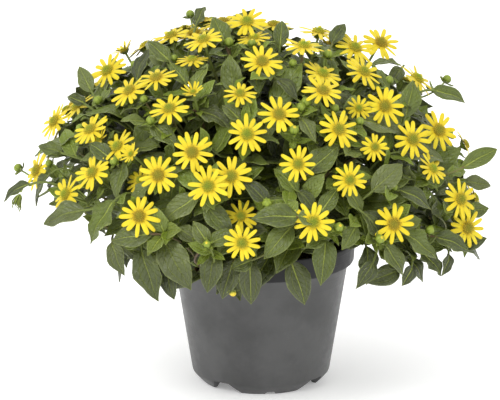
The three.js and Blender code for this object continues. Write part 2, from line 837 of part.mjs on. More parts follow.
// Leaf pairs by rule, on the stalks and on the stems
const turnTries = 12;
const shorterPerTry = 0.035;
const leafSpread = THREE.MathUtils.degToRad(68);
const leafRaised = 0.6;
const leafDroop = 0.12;
const leafBow = 0.07;
const stemPairSteps = [3, 2];

function pairAt(branch, share, sides, keys, scale) {
  const frame = branchFrame(branch, share);
  const length = leafLength * scale * between(0.85, 1.15, draw(...keys));
  const facing = frame.along.clone().addScaledVector(up, leafRaised).normalize();
  const leaves = sides.map((side) => {
    const heading = sideHeading(frame, branch, side).multiplyScalar(Math.sin(leafSpread));
    heading.addScaledVector(frame.along, Math.cos(leafSpread)).addScaledVector(up, -leafDroop);
    const tip = frame.centre.clone().addScaledVector(heading.normalize(), length);
    const width = leafWidth * (length / leafLength);
    return { ...leafPlan(frame.centre, tip, facing, width, length * leafBow), side };
  });
  return { share, leaves };
}

function bladeSolid(leaf, grow) {
  const [far, near] = bladeRings(leaf, grow);
  return skinOf([leafRing(leaf, 0.05, petioleHalfWidth, grow), near, far], null, leaf.tip);
}

// Whether a leaf stands over a head, or between it and the lens.
const hidingShare = 0.8;
const hidingReach = 60;

function hidesHead(leaf) {
  const points = [0.4, 0.7, 1].map((share) => leaf.curve.getPoint(share));
  return shoots.some((shoot) => shoot.heads.some((head) => points.some((point) => hides(point, head))));
}

function hides(point, { centre, facing, size }) {
  const radius = headRadius * size * hidingShare;
  const apart = point.clone().sub(centre);
  const above = apart.dot(facing);
  const beside = Math.sqrt(apart.lengthSq() - above ** 2);
  if (above > 0 && above < hidingReach && beside < radius) return true;
  if (facing.dot(sightForward) > hiddenFrom) return false;
  const ray = point.clone().sub(eye).normalize();
  const reach = centre.clone().sub(eye).dot(facing) / ray.dot(facing);
  const nearer = reach - eye.distanceTo(point);
  const met = eye.clone().addScaledVector(ray, reach);
  return nearer > 0 && nearer < 2 * hidingReach && met.distanceTo(centre) < radius;
}

// A branch's first pair sets how it is turned, and its next one, across the
// first, is made shorter until it is clear.
function placePair(shoot, branch, part, share, sides, keys, fits) {
  for (let attempt = 0; attempt < turnTries; attempt += 1) {
    const free = branch.pairs.length === 0;
    const turn = branch.turn + (free ? (attempt * 2 * Math.PI) / turnTries : 0);
    const scale = 1 - shorterPerTry * attempt;
    const pair = pairAt({ ...branch, turn }, share, sides, keys, scale);
    const root = pair.leaves[0].curve.v0;
    const clear = (leaf) => isClear(shoot, part, root, bladeSolid(leaf, clearance));
    if (!pair.leaves.every(fits) || !pair.leaves.every(clear)) continue;
    branch.turn = turn;
    branch.pairs.push(pair);
    for (const leaf of pair.leaves) keep(shoot, bladeSolid(leaf, 0));
    return true;
  }
  return false;
}

// A pair keeps inside the mound and off its heads where it can.
const mostBeyond = 6;

function keepsInside(leaf) {
  return leaf.tip.distanceTo(domeCentre) < dome.radius + mostBeyond;
}

// The end of the pot's collar shows past the leaves: where in the frame, and
// how far from it a leaf's midrib stays.
const collarEnd = { across: 348, down: 256, reach: 19 };

function coversCollarEnd(leaf) {
  return [0.3, 0.5, 0.7, 0.85, 1].some((share) => {
    const ray = leaf.curve.getPoint(share).sub(eye);
    const steps = sight.distance / sight.step / ray.dot(sightForward);
    const across = frameAcross / 2 + ray.x * steps;
    const down = frameDown / 2 - ray.dot(sightOverhead) * steps;
    return Math.hypot(across - collarEnd.across, down - collarEnd.down) < collarEnd.reach;
  });
}

function placeOpenPair(...place) {
  const fits = (leaf) => keepsInside(leaf) && !coversCollarEnd(leaf);
  return (
    placePair(...place, (leaf) => fits(leaf) && !hidesHead(leaf)) ||
    placePair(...place, fits) ||
    placePair(...place, (leaf) => !coversCollarEnd(leaf))
  );
}

function placeRuleLeaves() {
  for (const shoot of shoots) {
    for (const head of shoot.heads) {
      placeOpenPair(shoot, head, head.part, stalkPairShare, [0, 2], [...head.keys, 7]);
    }
    stemPairSteps.forEach((step, level) => {
      if (level > 0 && shoot.direction.z > 0.2) return;
      const share = stemShares[step];
      const sides = [level, level + 2];
      placeOpenPair(shoot, shoot.stem, shoot.part, share, sides, [103, shoot.index, level]);
    });
  }
}

// Soil, with a plain hole for each shoot
function soilSolid(shootList) {
  const bottom = floorTop + seatGap;
  const rimOfWall = collarFoot - shoulderDrop;
  const outline = [
    [0, bottom],
    [innerWallRadius(bottom) - seatGap, bottom],
    [innerWallRadius(rimOfWall) - seatGap, rimOfWall],
    [collarInnerRadius - collarTaper.inset - seatGap, collarFoot + collarTaper.rise + 0.4],
    [collarInnerRadius - 0.5 - seatGap, soilTop(innerWallRadius(collarFoot))],
    [soilSpread * 0.6, soilTop(soilSpread * 0.6)],
    [0, soilTop(0)],
  ];
  const profile = outline.map(([radius, height]) => new THREE.Vector2(radius, height));
  let solid = solidOfGeometry(new THREE.LatheGeometry(profile, potSides).rotateX(Math.PI / 2));
  for (const shoot of shootList) {
    const drill = new THREE.CylinderGeometry(holeRadius, holeRadius, 2 * (stemDepth + 0.5), 5);
    drill.rotateX(Math.PI / 2);
    drill.translate(shoot.hole.x, shoot.hole.y, shoot.hole.z);
    solid = solid.subtract(solidOfGeometry(drill));
  }
  return solid;
}

// Assembly
const shoots = Array.from({ length: shootCount }, (_, index) => shootPlan(index));
const potBody = potSolid();
const soilBody = soilSolid(shoots);
keep("pot", potBody);
keep("soil", soilBody);
for (const shoot of shoots) shoot.part = keep(shoot, stemSolid(shoot.stem));
placeEdgeLeaves();
placeFrontHeads();
placeBackHeads();
placeRuleLeaves();

const plant = new THREE.Group();
plant.add(meshOf(potBody, "pot", potPlastic));
plant.add(meshOf(soilBody, "soil", pottingSoil));
for (const shoot of shoots) {
  const grown = shoot.heads.map((head) => headSolid(head));
  grown.push(...shoot.edgeLeaves.map((part) => part.solid));
  const whole = grown.reduce((sum, part) => sum.add(part), stemSolid(shoot.stem));
  const name = `shoot_${String(shoot.index + 1).padStart(2, "0")}`;
  plant.add(meshOf(whole, name, shootGreen));
}

export default plant;
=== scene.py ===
import math
import bpy
import numpy as np
from types import SimpleNamespace as Record
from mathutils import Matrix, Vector, kdtree


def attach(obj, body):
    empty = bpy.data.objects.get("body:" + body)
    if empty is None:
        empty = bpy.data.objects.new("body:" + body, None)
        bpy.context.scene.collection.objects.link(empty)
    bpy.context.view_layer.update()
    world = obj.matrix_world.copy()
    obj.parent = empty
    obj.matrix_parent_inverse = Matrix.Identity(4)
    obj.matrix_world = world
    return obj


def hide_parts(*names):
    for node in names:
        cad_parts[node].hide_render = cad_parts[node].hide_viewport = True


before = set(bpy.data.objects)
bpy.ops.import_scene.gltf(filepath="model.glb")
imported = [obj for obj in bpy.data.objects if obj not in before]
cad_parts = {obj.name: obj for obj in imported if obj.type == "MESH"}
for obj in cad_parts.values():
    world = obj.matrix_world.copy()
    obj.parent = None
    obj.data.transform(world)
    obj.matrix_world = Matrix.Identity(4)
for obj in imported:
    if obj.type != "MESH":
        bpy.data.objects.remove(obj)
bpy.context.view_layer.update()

# The plant grows here by the rule that made its solids, in millimetres, and
# each shoot's leaves and heads are then dressed with finer ones.
MM = 0.001

# Pot and soil
POT_HEIGHT = 93.0
RIM_RADIUS = 60.0
COLLAR_HEIGHT = 14.2
COLLAR_FOOT = POT_HEIGHT - COLLAR_HEIGHT
COLLAR_INNER_RADIUS = RIM_RADIUS - 2.6
WALL_TOP_RADIUS = 55.3
WALL_BOTTOM_RADIUS = 43.8
WALL_FOOT_HEIGHT = 7.6
WALL_THICKNESS = 1.3
FOOT_COUNT = 4
FOOT_TURN = math.radians(189)
FOOT_RADIUS = 37.0
FOOT_WIDTH = 3.0
FOOT_HEIGHT = 7.2
PAD_RADIUS = 14.0
FLOOR_UNDERSIDE = FOOT_HEIGHT - 0.4
FLOOR_TOP = FLOOR_UNDERSIDE + WALL_THICKNESS
SOIL_HEIGHT = 85.0
SOIL_MOUND = 2.0

# Mound
DOME_CENTRE = np.array([-6.0, 0.0, 89.0])
DOME_RADIUS = 150.0
CROWN_RADIUS = 100.0
SHOOT_COUNT = 30
LOWEST_SHOOT = 0.04
SOIL_SPREAD = 45.0
GOLDEN_TURN = math.pi * (3 - math.sqrt(5))

# Stems and stalks
STEM_RADIUS = 1.5
STALK_RADIUS = 0.8
STEM_DEPTH = 9.0
STEM_RISE = 30.0
CROWN_RUN = 38.0
STEM_SHARES = [0, 0.15, 0.42, 0.72, 1]
STEM_PAIR_STEPS = [3, 2]
STALK_PAIR_SHARE = 0.5
# How far a stalk runs straight from its root and to its end, as shares of its reach.
STALK_START = 0.4
HEAD_STALK_END = 0.35
BUD_STALK_END = 0.3
# A stalk's own direction across, where its two ends point nearly the same way.
ASKEW = np.array([1, 0.3, 0])
LEAST_ACROSS = 0.05
SLIGHTLY_ASKEW = np.array([0.01, 0.02, 0])
ROOT_REACH = 0.5
TOP_ROOT_REACH = 0.8
ROOT_SPACING = 0.08

# Heads
HEAD_RADIUS = 13.0
BRACT_DEPTH = 5.0
DISC_RISE = 3.0
MOST_RAISED = 0.3
MOST_SIDEWAYS = 0.15
BACK_HEADS_APART = 27.0
EXTRA_HEADS = 60
EXTRA_HEADS_APART = 38.0
EXTRA_HEADS_START, LOWEST_EXTRA_HEAD = 1.0, 0.05
HIDDEN_FROM = 0.08

# Leaves
LEAF_LENGTH = 42.0
LEAF_WIDTH = 20.0
LEAF_SPREAD = math.radians(68)
LEAF_DROOP = 0.12
PAIR_LENGTHS = (0.85, 1.15)
PAIR_BOW = 0.07
PAIR_RISE = 0.6
# Only shoots that point lower than this have their second pair.
SECOND_PAIR_BELOW = 0.2
EDGE_LEAF_BREADTH = 0.54
EDGE_LEAF_BOW = 0.06
EDGE_LEAF_RISE = 0.35
LEAST_LEAF_WIDTH = 10.0
MOST_FORESHORTENING = 0.35
# How much of its width a leaf turned from the lens shows.
AVERTED_LEAF_SHARE = 0.76
# Edge leaves are repeated on the back within this reach, and between these heights.
BACK_LEAF_REACH = 105.0
BACK_LEAF_DEPTH = 30.0
BACK_LEAF_TOP = 190.0

# A head or leaf was moved in or out, or a pair turned and shortened, until it was clear.
DEPTH_TRIES = [0, 4, -4, 8, -8, 12, -12, 16, -16, 20]
TURN_TRIES = 12
SHORTER_PER_TRY = 0.035
CORNER_REACH = 0.05

# Where the photograph was taken from. A step is one point of its 500 by 400
# frame at the pot's distance.
SIGHT_ELEVATION = math.radians(14.4)
SIGHT_DISTANCE = 3000.0
SIGHT_STEP = 0.634
SIGHT_MIDDLE = np.array([-7.0, 0.0, 117.4])
FRAME_ACROSS = 500
FRAME_DOWN = 400

# The first key of each part's draws. The keys after it only tell one draw from another.
FRONT_HEAD_DRAWS, BACK_HEAD_DRAWS, EXTRA_HEAD_DRAWS = 101, 102, 105
PAIR_DRAWS, STEM_TURNS = 103, 104
SIDE_SHOOT_DRAWS = 201
STEM_TINTS, STEM_LEAF_DRAWS, EDGE_LEAF_DRAWS, INNER_LEAF_DRAWS, DEEP_LEAF_DRAWS = 301, 302, 303, 306, 307
HEAD_DRAWS, BUD_DRAWS, LONE_DRAWS, FLORET_HEIGHTS, FLORET_TINTS = 304, 305, 308, 61, 62
SOIL_LUMPS, CRUMB_REACHES, CRUMB_TURNS, CRUMB_DRAWS, CRUMB_SPINS, CRUMB_BREADTHS = range(401, 407)

# Heads as the photograph shows them: across, down, lift out of the mound, size,
# and how far each has turned from facing outward to facing the lens, or where it
# is below nought, to facing straight up.
FRONT_HEADS = [
    (107, 70, 0, 1, 0.35), (129, 90, 0, 1, 0), (156, 77, 0, 1, -0.35), (169, 108, 0, 1, 0),
    (77, 106, -5, 1, 0), (54, 121, 0, 1, 0.25), (90, 129, 0, 1, 0), (117, 146, -6, 1, 0),
    (171, 35, 0, 1, 0), (203, 39, 5, 1, 0), (194, 32, -2, 1, 0), (223, 21, 0, 1, 0), (247, 21, 0, 1, 0.35),
    (274, 24, 0, 1, -0.4), (254, 37, -4, 0.85, 0), (192, 59, 0, 0.85, -0.6), (262, 61, 0, 1, 0.3),
    (319, 31, 0, 1, -0.4), (304, 45, 4, 1, -0.5), (323, 73, -7, 1, 0), (323, 90, 5, 1, 0),
    (240, 93, 0, 0.85, 0), (279, 114, 0, 1, 0.25), (247, 134, 0, 1, 0.3), (339, 129, 0, 1, 0.2),
    (355, 47, 0, 1, 0.3), (381, 42, 0, 1, 0.5), (364, 71, 0, 1, 0.2), (418, 78, 0, 1, 0.2),
    (359, 108, -6, 0.65, 0.6), (385, 106, 0, 1, 0.7), (439, 130, 0, 1, 0.6), (413, 139, 0, 1, 0.6),
    (36, 170, 0, 1, 0.2), (65, 194, 0, 1, 0), (92, 172, 0, 1, 0), (139, 216, 0, 1, 0.8),
    (158, 175, 0, 1, 0.6), (192, 152, 0, 1, 0.4), (208, 186, 5, 1, 0.5), (231, 176, -3, 1, 0.6),
    (298, 164, 0, 0.88, 0.6), (242, 243, 0, 0.9, 0.4), (313, 222, 0, 1, 0.5), (241, 216, -18, 0.8, 0),
    (375, 147, 0, 0.7, 0.6), (350, 180, 0, 0.85, 0.6), (433, 168, 0, 0.85, 0), (461, 199, 4, 1, 0.4),
    (468, 228, 4, 1, 0.5), (394, 224, 0, 1, 0.9), (466, 144, 0, 0.8, 0), (124, 50, 0, 0.6, 0),
    (99, 139, 3, 0.6, 0), (193, 92, 0, 0.55, 0), (131, 154, 0, 0.55, 0), (66, 109, -4, 0.8, 0),
    (140, 180, -14, 0.8, 0),
]

# Leaves that draw the mound's edge: base across and down, tip across and
# down, lift, turned to the lens.
FRONT_LEAVES = [
    (216, 250, 207, 293, -24, 0), (250, 262, 251, 305, -30, 0), (291, 262, 305, 305, -30, 0),
    (325, 240, 321, 286, -20, 0), (164, 240, 191, 290, -12, 0), (165, 262, 174, 300, -26, 0),
    (112, 242, 124, 276, -14, 0), (142, 250, 158, 302, -18, 0), (30, 184, 3, 201, 8, 0),
    (51, 173, 34, 206, -2, 0), (85, 210, 43, 224, 0, 0), (114, 201, 90, 244, -6, 0),
    (462, 168, 498, 148, 8, -0.1), (464, 182, 491, 186, -2, 0.7), (464, 213, 489, 208, -4, 0.5),
    (458, 246, 487, 238, -6, 0), (435, 237, 470, 251, -6, 0), (399, 190, 432, 209, -4, 0),
    (384, 244, 403, 275, -10, 0), (366, 246, 367, 285, -24, 0), (420, 250, 442, 276, -14, 0),
    (408, 258, 424, 282, -26, 0), (196, 26, 205, 6, 2, 0), (280, 47, 282, 20, -10, 0),
    (433, 90, 466, 102, 4, 0.9), (170, 62, 147, 41, -2, 0), (92, 92, 79, 66, 0, 0),
    (405, 117, 413, 80, -8, 0), (332, 44, 345, 23, -4, 0),
]

# Leaves that show between the heads, given as the ones above are but for the turn.
INNER_LEAVES = [
    (114, 161, 89, 143, -8), (152, 125, 178, 147, -8), (198, 110, 233, 128, -16), (198, 196, 163, 222, -12),
    (206, 206, 233, 237, -12), (208, 244, 193, 221, -8), (210, 244, 236, 231, -8),
    (150, 184, 131, 201, -10), (124, 163, 116, 199, -10), (178, 228, 199, 242, -14), (226, 46, 213, 16, -6),
    (137, 80, 149, 48, -6), (186, 84, 170, 62, -8), (85, 104, 67, 96, -4), (62, 153, 38, 146, -4),
    (240, 120, 222, 105, -10), (152, 234, 111, 241, -6), (268, 204, 243, 180, -8), (298, 217, 251, 218, -2),
    (298, 216, 321, 222, -2), (292, 226, 264, 259, -10), (356, 226, 342, 250, -6),
    (308, 173, 340, 145, -10), (298, 193, 274, 168, -14), (298, 191, 317, 212, -12),
    (320, 213, 338, 188, -12), (372, 191, 403, 164, -6), (398, 152, 445, 160, -12),
    (357, 121, 402, 132, -12), (278, 79, 298, 101, -8), (300, 118, 316, 142, -6), (411, 110, 427, 123, -8),
    (432, 195, 436, 228, -10), (374, 260, 356, 289, -14), (399, 270, 366, 283, -16),
    (449, 254, 442, 276, -6), (412, 266, 402, 286, -10), (386, 90, 376, 68, -6), (402, 68, 387, 88, -4),
    (345, 189, 363, 215, -14), (362, 212, 386, 242, -10), (404, 234, 437, 258, -8),
    (252, 260, 232, 269, -24), (234, 260, 222, 299, -32),
]

# Buds: across, down, lift. One bud hangs ripe, and one head has dropped its petals.
BUDS = [
    (190, 14, -3), (229, 42, -3), (252, 43, -3), (174, 58, -3), (293, 63, -3), (301, 107, -3),
    (306, 102, -3), (294, 130, -3), (187, 141, -10), (328, 54, -3), (447, 79, -3), (389, 80, -3),
    (335, 108, -3), (360, 121, -3), (144, 99, -3), (151, 120, -3), (80, 128, -3), (98, 100, -3),
    (134, 64, -3), (18, 168, -3), (49, 163, -3), (114, 161, -3), (267, 203, -3), (207, 244, -3),
    (242, 170, -12), (394, 187, -3), (339, 227, -3), (380, 239, -3), (430, 230, -3),
]
HANGING_BUD = (233, 293, -30)
SPENT_HEAD = (20, 194, 2)

# What the leaves between the heads keep inside: the mound's outline, across
# and down, and what they leave open: across, down and reach.
MOUND_OUTLINE = [
    (26, 190), (30, 165), (42, 138), (54, 120), (66, 103), (84, 88), (96, 72), (118, 60), (142, 52),
    (165, 44), (188, 26), (215, 20), (240, 22), (265, 28), (290, 38), (320, 38), (345, 32), (370, 52),
    (385, 70), (405, 76), (430, 88), (440, 108), (452, 125), (464, 142), (470, 165), (476, 185), (478, 205),
    (476, 225), (468, 243), (450, 254), (430, 264), (405, 272), (380, 276), (362, 268), (352, 250),
    (338, 255), (300, 257), (262, 257), (225, 258), (200, 262), (188, 280), (165, 285), (150, 280),
    (130, 264), (112, 256), (98, 238), (85, 222), (60, 214), (45, 205),
]
THIN_PLACES = [
    (50, 142, 11), (60, 166, 13), (82, 160, 11), (74, 150, 9), (103, 187, 12), (98, 201, 10), (84, 198, 8),
    (120, 72, 12), (215, 76, 13), (268, 156, 11), (338, 152, 10), (210, 222, 8), (446, 188, 8),
    (123, 122, 9), (116, 232, 8), (195, 108, 8), (302, 242, 9), (452, 176, 7),
]
COLLAR_END = (348, 256)
COLLAR_END_REACH = 13.0


# Vectors and curves
def vec(x, y, z):
    return np.array([x, y, z], dtype=float)


def unit(v):
    return v / np.linalg.norm(v)


def units(vectors):
    return vectors / np.maximum(np.linalg.norm(vectors, axis=-1, keepdims=True), 1e-9)


def between(low, high, share):
    return low + (high - low) * share


def pick(limits, *keys):
    """A draw between two limits."""
    return between(*limits, draw(*keys))


def distance(a, b):
    return float(np.linalg.norm(a - b))


EAST = vec(1, 0, 0)
NORTH = vec(0, 1, 0)
UP = vec(0, 0, 1)
FORWARD = vec(0, math.cos(SIGHT_ELEVATION), -math.sin(SIGHT_ELEVATION))
OVERHEAD = vec(0, math.sin(SIGHT_ELEVATION), math.cos(SIGHT_ELEVATION))
EYE = SIGHT_MIDDLE - FORWARD * SIGHT_DISTANCE


def draw(*keys):
    """A draw between 0 and 1 that depends only on its whole-number keys."""
    state = 2166136261
    for key in keys:
        state = ((state ^ key) * 16777619) & 0xFFFFFFFF
        state ^= state >> 13
        state = (state * 1540483477) & 0xFFFFFFFF
        state ^= state >> 15
    return state / 4294967296


def on_curve(points, share):
    """A point on the Bezier curve of three or four points, or a row of them."""
    share = np.asarray(share, dtype=float)[..., None]
    while len(points) > 1:
        points = [a * (1 - share) + b * share for a, b in zip(points, points[1:])]
    return points[0]


def along_curve(points, share):
    before = max(0.0, share - 0.0001)
    after = min(1.0, share + 0.0001)
    return unit(on_curve(points, after) - on_curve(points, before))


def spoke(u, v, angle):
    """The direction at an angle from u towards v."""
    return u * math.cos(angle) + v * math.sin(angle)


def spokes(u, v, count, start=0.0):
    """Directions evenly round an axis, each with its index."""
    return [(index, spoke(u, v, index * 2 * math.pi / count + start)) for index in range(count)]


def even_angles(sides):
    return np.arange(sides) * 2 * math.pi / sides


def rings(radii, heights, sides, u=EAST, v=NORTH, axis=UP, start=0.0):
    """Rings of points about an axis. A ring has one radius and height, or one a point."""
    angles = even_angles(sides) + start
    out = u * np.cos(angles)[:, None] + v * np.sin(angles)[:, None]
    wide = np.reshape(radii, (len(radii), -1, 1))
    tall = np.reshape(heights, (len(heights), -1, 1))
    return out * wide + axis * tall


def about_axis(points, angle):
    """Points turned about the upright axis."""
    x, y, z = np.transpose(points)
    across = x * math.cos(angle) - y * math.sin(angle)
    return np.stack([across, x * math.sin(angle) + y * math.cos(angle), z], axis=-1)


# Lines of sight
def sight_line(across, down):
    per_step = SIGHT_STEP / SIGHT_DISTANCE
    ray = FORWARD + vec((across - FRAME_ACROSS / 2) * per_step, 0, 0)
    return ray + OVERHEAD * ((FRAME_DOWN / 2 - down) * per_step)


def depth_of(point):
    return float(np.dot(point - EYE, FORWARD))


def on_dome(across, down, lift=0.0, further=0.0):
    ray = unit(sight_line(across, down))
    nearest = float(np.dot(DOME_CENTRE - EYE, ray))
    missed_by = distance(EYE + ray * nearest, DOME_CENTRE)
    inside = math.sqrt(max(0.0, (DOME_RADIUS + lift) ** 2 - missed_by**2))
    return EYE + ray * (nearest - inside + further)


def leaf_ends(leaf, further):
    from_across, from_down, to_across, to_down, lift = leaf[:5]
    base = on_dome(from_across, from_down, lift, further)
    seen = math.hypot(to_across - from_across, to_down - from_down) * SIGHT_STEP
    change = depth_of(on_dome(to_across, to_down, lift, further)) - depth_of(base)
    most = MOST_FORESHORTENING * seen
    depth = depth_of(base) + min(most, max(-most, change))
    return base, EYE + sight_line(to_across, to_down) * depth


def outward_at(point):
    return unit(point - DOME_CENTRE)


def raised_outward(point, rise):
    return unit(outward_at(point) + UP * rise)


def to_back(point):
    return vec(2 * DOME_CENTRE[0] - point[0], 2 * DOME_CENTRE[1] - point[1], point[2])


# Shoots, each on the stem that its solid has
def soil_top(radius):
    share = radius / (WALL_TOP_RADIUS - WALL_THICKNESS)
    return SOIL_HEIGHT + SOIL_MOUND * (1 - share**2)


def even_direction(index, count, lowest, start=0.0):
    height = between(1, lowest, (index + 0.5) / count)
    turn = index * GOLDEN_TURN + start
    level = math.sqrt(1 - height * height)
    return vec(level * math.cos(turn), level * math.sin(turn), height)


def shoot_plan(index):
    direction = even_direction(index, SHOOT_COUNT, LOWEST_SHOOT)
    level = unit(vec(direction[0], direction[1], 0))
    spread = SOIL_SPREAD * math.sqrt(1 - direction[2])
    hole = level * spread + UP * soil_top(spread)
    crown = DOME_CENTRE + direction * CROWN_RADIUS
    path = [hole - UP * STEM_DEPTH, hole + UP * STEM_RISE, crown - direction * CROWN_RUN, crown]
    turn = draw(STEM_TURNS, index) * math.pi
    stem = Record(path=path, across=np.cross(UP, level), turn=turn, pairs=[])
    name = f"shoot_{index + 1:02d}"
    shoot = Record(index=index, name=name, direction=direction, stem=stem, heads=[], edge_leaves=[])
    shoot.has_corner = corner_finder(name)
    return shoot


def corner_finder(node_name):
    """Says whether the shoot's solid has a corner at a point."""
    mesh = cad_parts[node_name].data
    tree = kdtree.KDTree(len(mesh.vertices))
    for i, corner in enumerate(mesh.vertices):
        tree.insert(corner.co, i)
    tree.balance()
    return lambda point: tree.find(Vector(point * MM))[2] < CORNER_REACH * MM


shoots = [shoot_plan(index) for index in range(SHOOT_COUNT)]


def nearest_shoot(point):
    outward = outward_at(point)
    return max(shoots, key=lambda shoot: float(np.dot(shoot.direction, outward)))


def stem_root(shoot, step, lower=0.0):
    path = shoot.stem.path
    start = on_curve(path, STEM_SHARES[step - 1])
    end = on_curve(path, STEM_SHARES[step])
    reach = TOP_ROOT_REACH if step == len(STEM_SHARES) - 1 else ROOT_REACH
    return start + (end - start) * (reach - lower)


def branch_frame(branch, share):
    along = along_curve(branch.path, share)
    across = branch.across
    v = unit(across - along * np.dot(across, along))
    return Record(along=along, v=v, u=np.cross(v, along), centre=on_curve(branch.path, share))


# Heads
def facing_at(centre, turned, keys):
    facing = outward_at(centre)
    if turned < 0:
        return unit(facing * (1 + turned) - UP * turned)
    if turned > 0:
        return unit(facing * (1 - turned) - FORWARD * turned)
    facing[2] += between(0, MOST_RAISED, draw(*keys, 1))
    facing[0] += between(-MOST_SIDEWAYS, MOST_SIDEWAYS, draw(*keys, 2))
    return unit(facing)


def head_at(shoot, centre, size, turned, keys, attempt):
    facing = facing_at(centre, turned, keys)
    step = len(STEM_SHARES) - 1 - ((math.floor(3 * draw(*keys, 3)) + attempt) % 3)
    away = along_curve(shoot.stem.path, STEM_SHARES[step])
    root = stem_root(shoot, step)
    reach = distance(centre, root)
    base = centre - facing * BRACT_DEPTH * size
    across = np.cross(away, facing)
    if np.linalg.norm(across) < LEAST_ACROSS:
        across = np.cross(ASKEW, facing)
    path = [root, root + away * reach * STALK_START, centre - facing * reach * HEAD_STALK_END, base]
    turn = draw(*keys, 4) * math.pi
    across = unit(across)
    return Record(
        centre=centre, facing=facing, size=size, keys=keys, path=path, across=across, turn=turn, pairs=[]
    )


def find_head(shoot, size, turned, keys, centres):
    """Adds the head whose disc stands where the solid has one."""
    for attempt, centre in enumerate(centres):
        head = head_at(shoot, centre, size, turned, keys, attempt)
        along = along_curve(head.path, 1.0)
        if shoot.has_corner(centre + along * DISC_RISE * size):
            shoot.heads.append(head)
            return True
    return False


def grow_front_heads():
    for index, (across, down, lift, size, turned) in enumerate(FRONT_HEADS):
        centres = [on_dome(across, down, lift, depth) for depth in DEPTH_TRIES]
        find_head(nearest_shoot(centres[0]), size, turned, (FRONT_HEAD_DRAWS, index), centres)


def grow_back_heads():
    taken = [head.centre for shoot in shoots for head in shoot.heads]

    def offer(places, apart, key):
        for index, place in enumerate(places):
            outward = outward_at(place)
            if np.dot(outward, FORWARD) < HIDDEN_FROM:
                continue
            if any(distance(other, place) < apart for other in taken):
                continue
            centres = [place + outward * lift for lift in DEPTH_TRIES]
            if find_head(nearest_shoot(place), 1, 0, (key, index), centres):
                taken.append(place)

    offer([to_back(centre) for centre in taken], BACK_HEADS_APART, BACK_HEAD_DRAWS)
    extra = range(EXTRA_HEADS)
    dots = [even_direction(index, EXTRA_HEADS, LOWEST_EXTRA_HEAD, EXTRA_HEADS_START) for index in extra]
    offer([DOME_CENTRE + dot * DOME_RADIUS for dot in dots], EXTRA_HEADS_APART, EXTRA_HEAD_DRAWS)


# Leaves that the solids have
def leaf_plan(base, tip, facing, width, bow, **rest):
    middle = (base + tip) / 2 + facing * 2 * bow
    return Record(curve=[base, middle, tip], facing=facing, width=width, **rest)


def edge_leaf(base, tip, root, turned=0.0):
    facing = unit(outward_at((base + tip) / 2) + UP * EDGE_LEAF_RISE - FORWARD * turned)
    length = distance(base, tip)
    width = max(LEAST_LEAF_WIDTH, length * EDGE_LEAF_BREADTH)
    return leaf_plan(base, tip, facing, width, length * EDGE_LEAF_BOW, root=root)


def nearest_root(shoot, base, lower=0.0):
    roots = [stem_root(shoot, step, lower) for step in (2, 3, 4)]
    return min(roots, key=lambda one: distance(one, base))


def find_edge_leaf(pairs, turned=0.0):
    shoot = nearest_shoot(pairs[0][0])
    lower = ROOT_SPACING * len(shoot.edge_leaves)
    for base, tip in pairs:
        if shoot.has_corner(tip):
            leaf = edge_leaf(base, tip, nearest_root(shoot, base, lower), turned)
            if turned < 0:
                leaf.width *= AVERTED_LEAF_SHARE
            shoot.edge_leaves.append(leaf)
            return


def grow_edge_leaves():
    for leaf in FRONT_LEAVES:
        pairs = [leaf_ends(leaf, further) for further in DEPTH_TRIES]
        find_edge_leaf(pairs, leaf[5])
        base, tip = (to_back(point) for point in pairs[0])
        sideways = abs(tip[0] - DOME_CENTRE[0])
        if sideways < BACK_LEAF_REACH and tip[1] > BACK_LEAF_DEPTH and tip[2] < BACK_LEAF_TOP:
            outward = outward_at(base)
            find_edge_leaf([(base + outward * lift, tip + outward * lift) for lift in DEPTH_TRIES])


def pair_at(branch, turn, share, sides, lengths, droop=LEAF_DROOP, spread=LEAF_SPREAD):
    here = branch_frame(branch, share)
    facing = unit(here.along + UP * PAIR_RISE)
    leaves = []
    for side, length in zip(sides, lengths):
        heading = spoke(here.u, here.v, turn + (side + 1) * (math.pi / 2))
        heading = heading * math.sin(spread) + here.along * math.cos(spread) - UP * droop
        tip = here.centre + unit(heading) * length
        width = LEAF_WIDTH * (length / LEAF_LENGTH)
        leaves.append(leaf_plan(here.centre, tip, facing, width, length * PAIR_BOW))
    return leaves


def find_pair(shoot, branch, share, sides, keys):
    for attempt in range(TURN_TRIES):
        free = not branch.pairs
        turn = branch.turn + (attempt * 2 * math.pi / TURN_TRIES if free else 0)
        scale = 1 - SHORTER_PER_TRY * attempt
        length = LEAF_LENGTH * scale * pick(PAIR_LENGTHS, *keys)
        leaves = pair_at(branch, turn, share, sides, (length, length))
        if all(shoot.has_corner(leaf.curve[2]) for leaf in leaves):
            branch.turn = turn
            branch.pairs.append(leaves)
            return


def grow_rule_leaves():
    for shoot in shoots:
        for head in shoot.heads:
            find_pair(shoot, head, STALK_PAIR_SHARE, (0, 2), (*head.keys, 7))
        for level, step in enumerate(STEM_PAIR_STEPS):
            if level > 0 and shoot.direction[2] > SECOND_PAIR_BELOW:
                continue
            keys = (PAIR_DRAWS, shoot.index, level)
            find_pair(shoot, shoot.stem, STEM_SHARES[step], (level, level + 2), keys)


grow_edge_leaves()
grow_front_heads()
grow_back_heads()
grow_rule_leaves()
heads = [head for shoot in shoots for head in shoot.heads]


# Meshes
def grid_faces(rows, columns, closed=False):
    row, column = np.meshgrid(np.arange(rows - 1), np.arange(columns - (not closed)), indexing="ij")
    after = (column + 1) % columns
    corners = [row * columns + column, row * columns + after]
    corners += [(row + 1) * columns + after, (row + 1) * columns + column]
    return np.stack([c.ravel() for c in corners], axis=1)


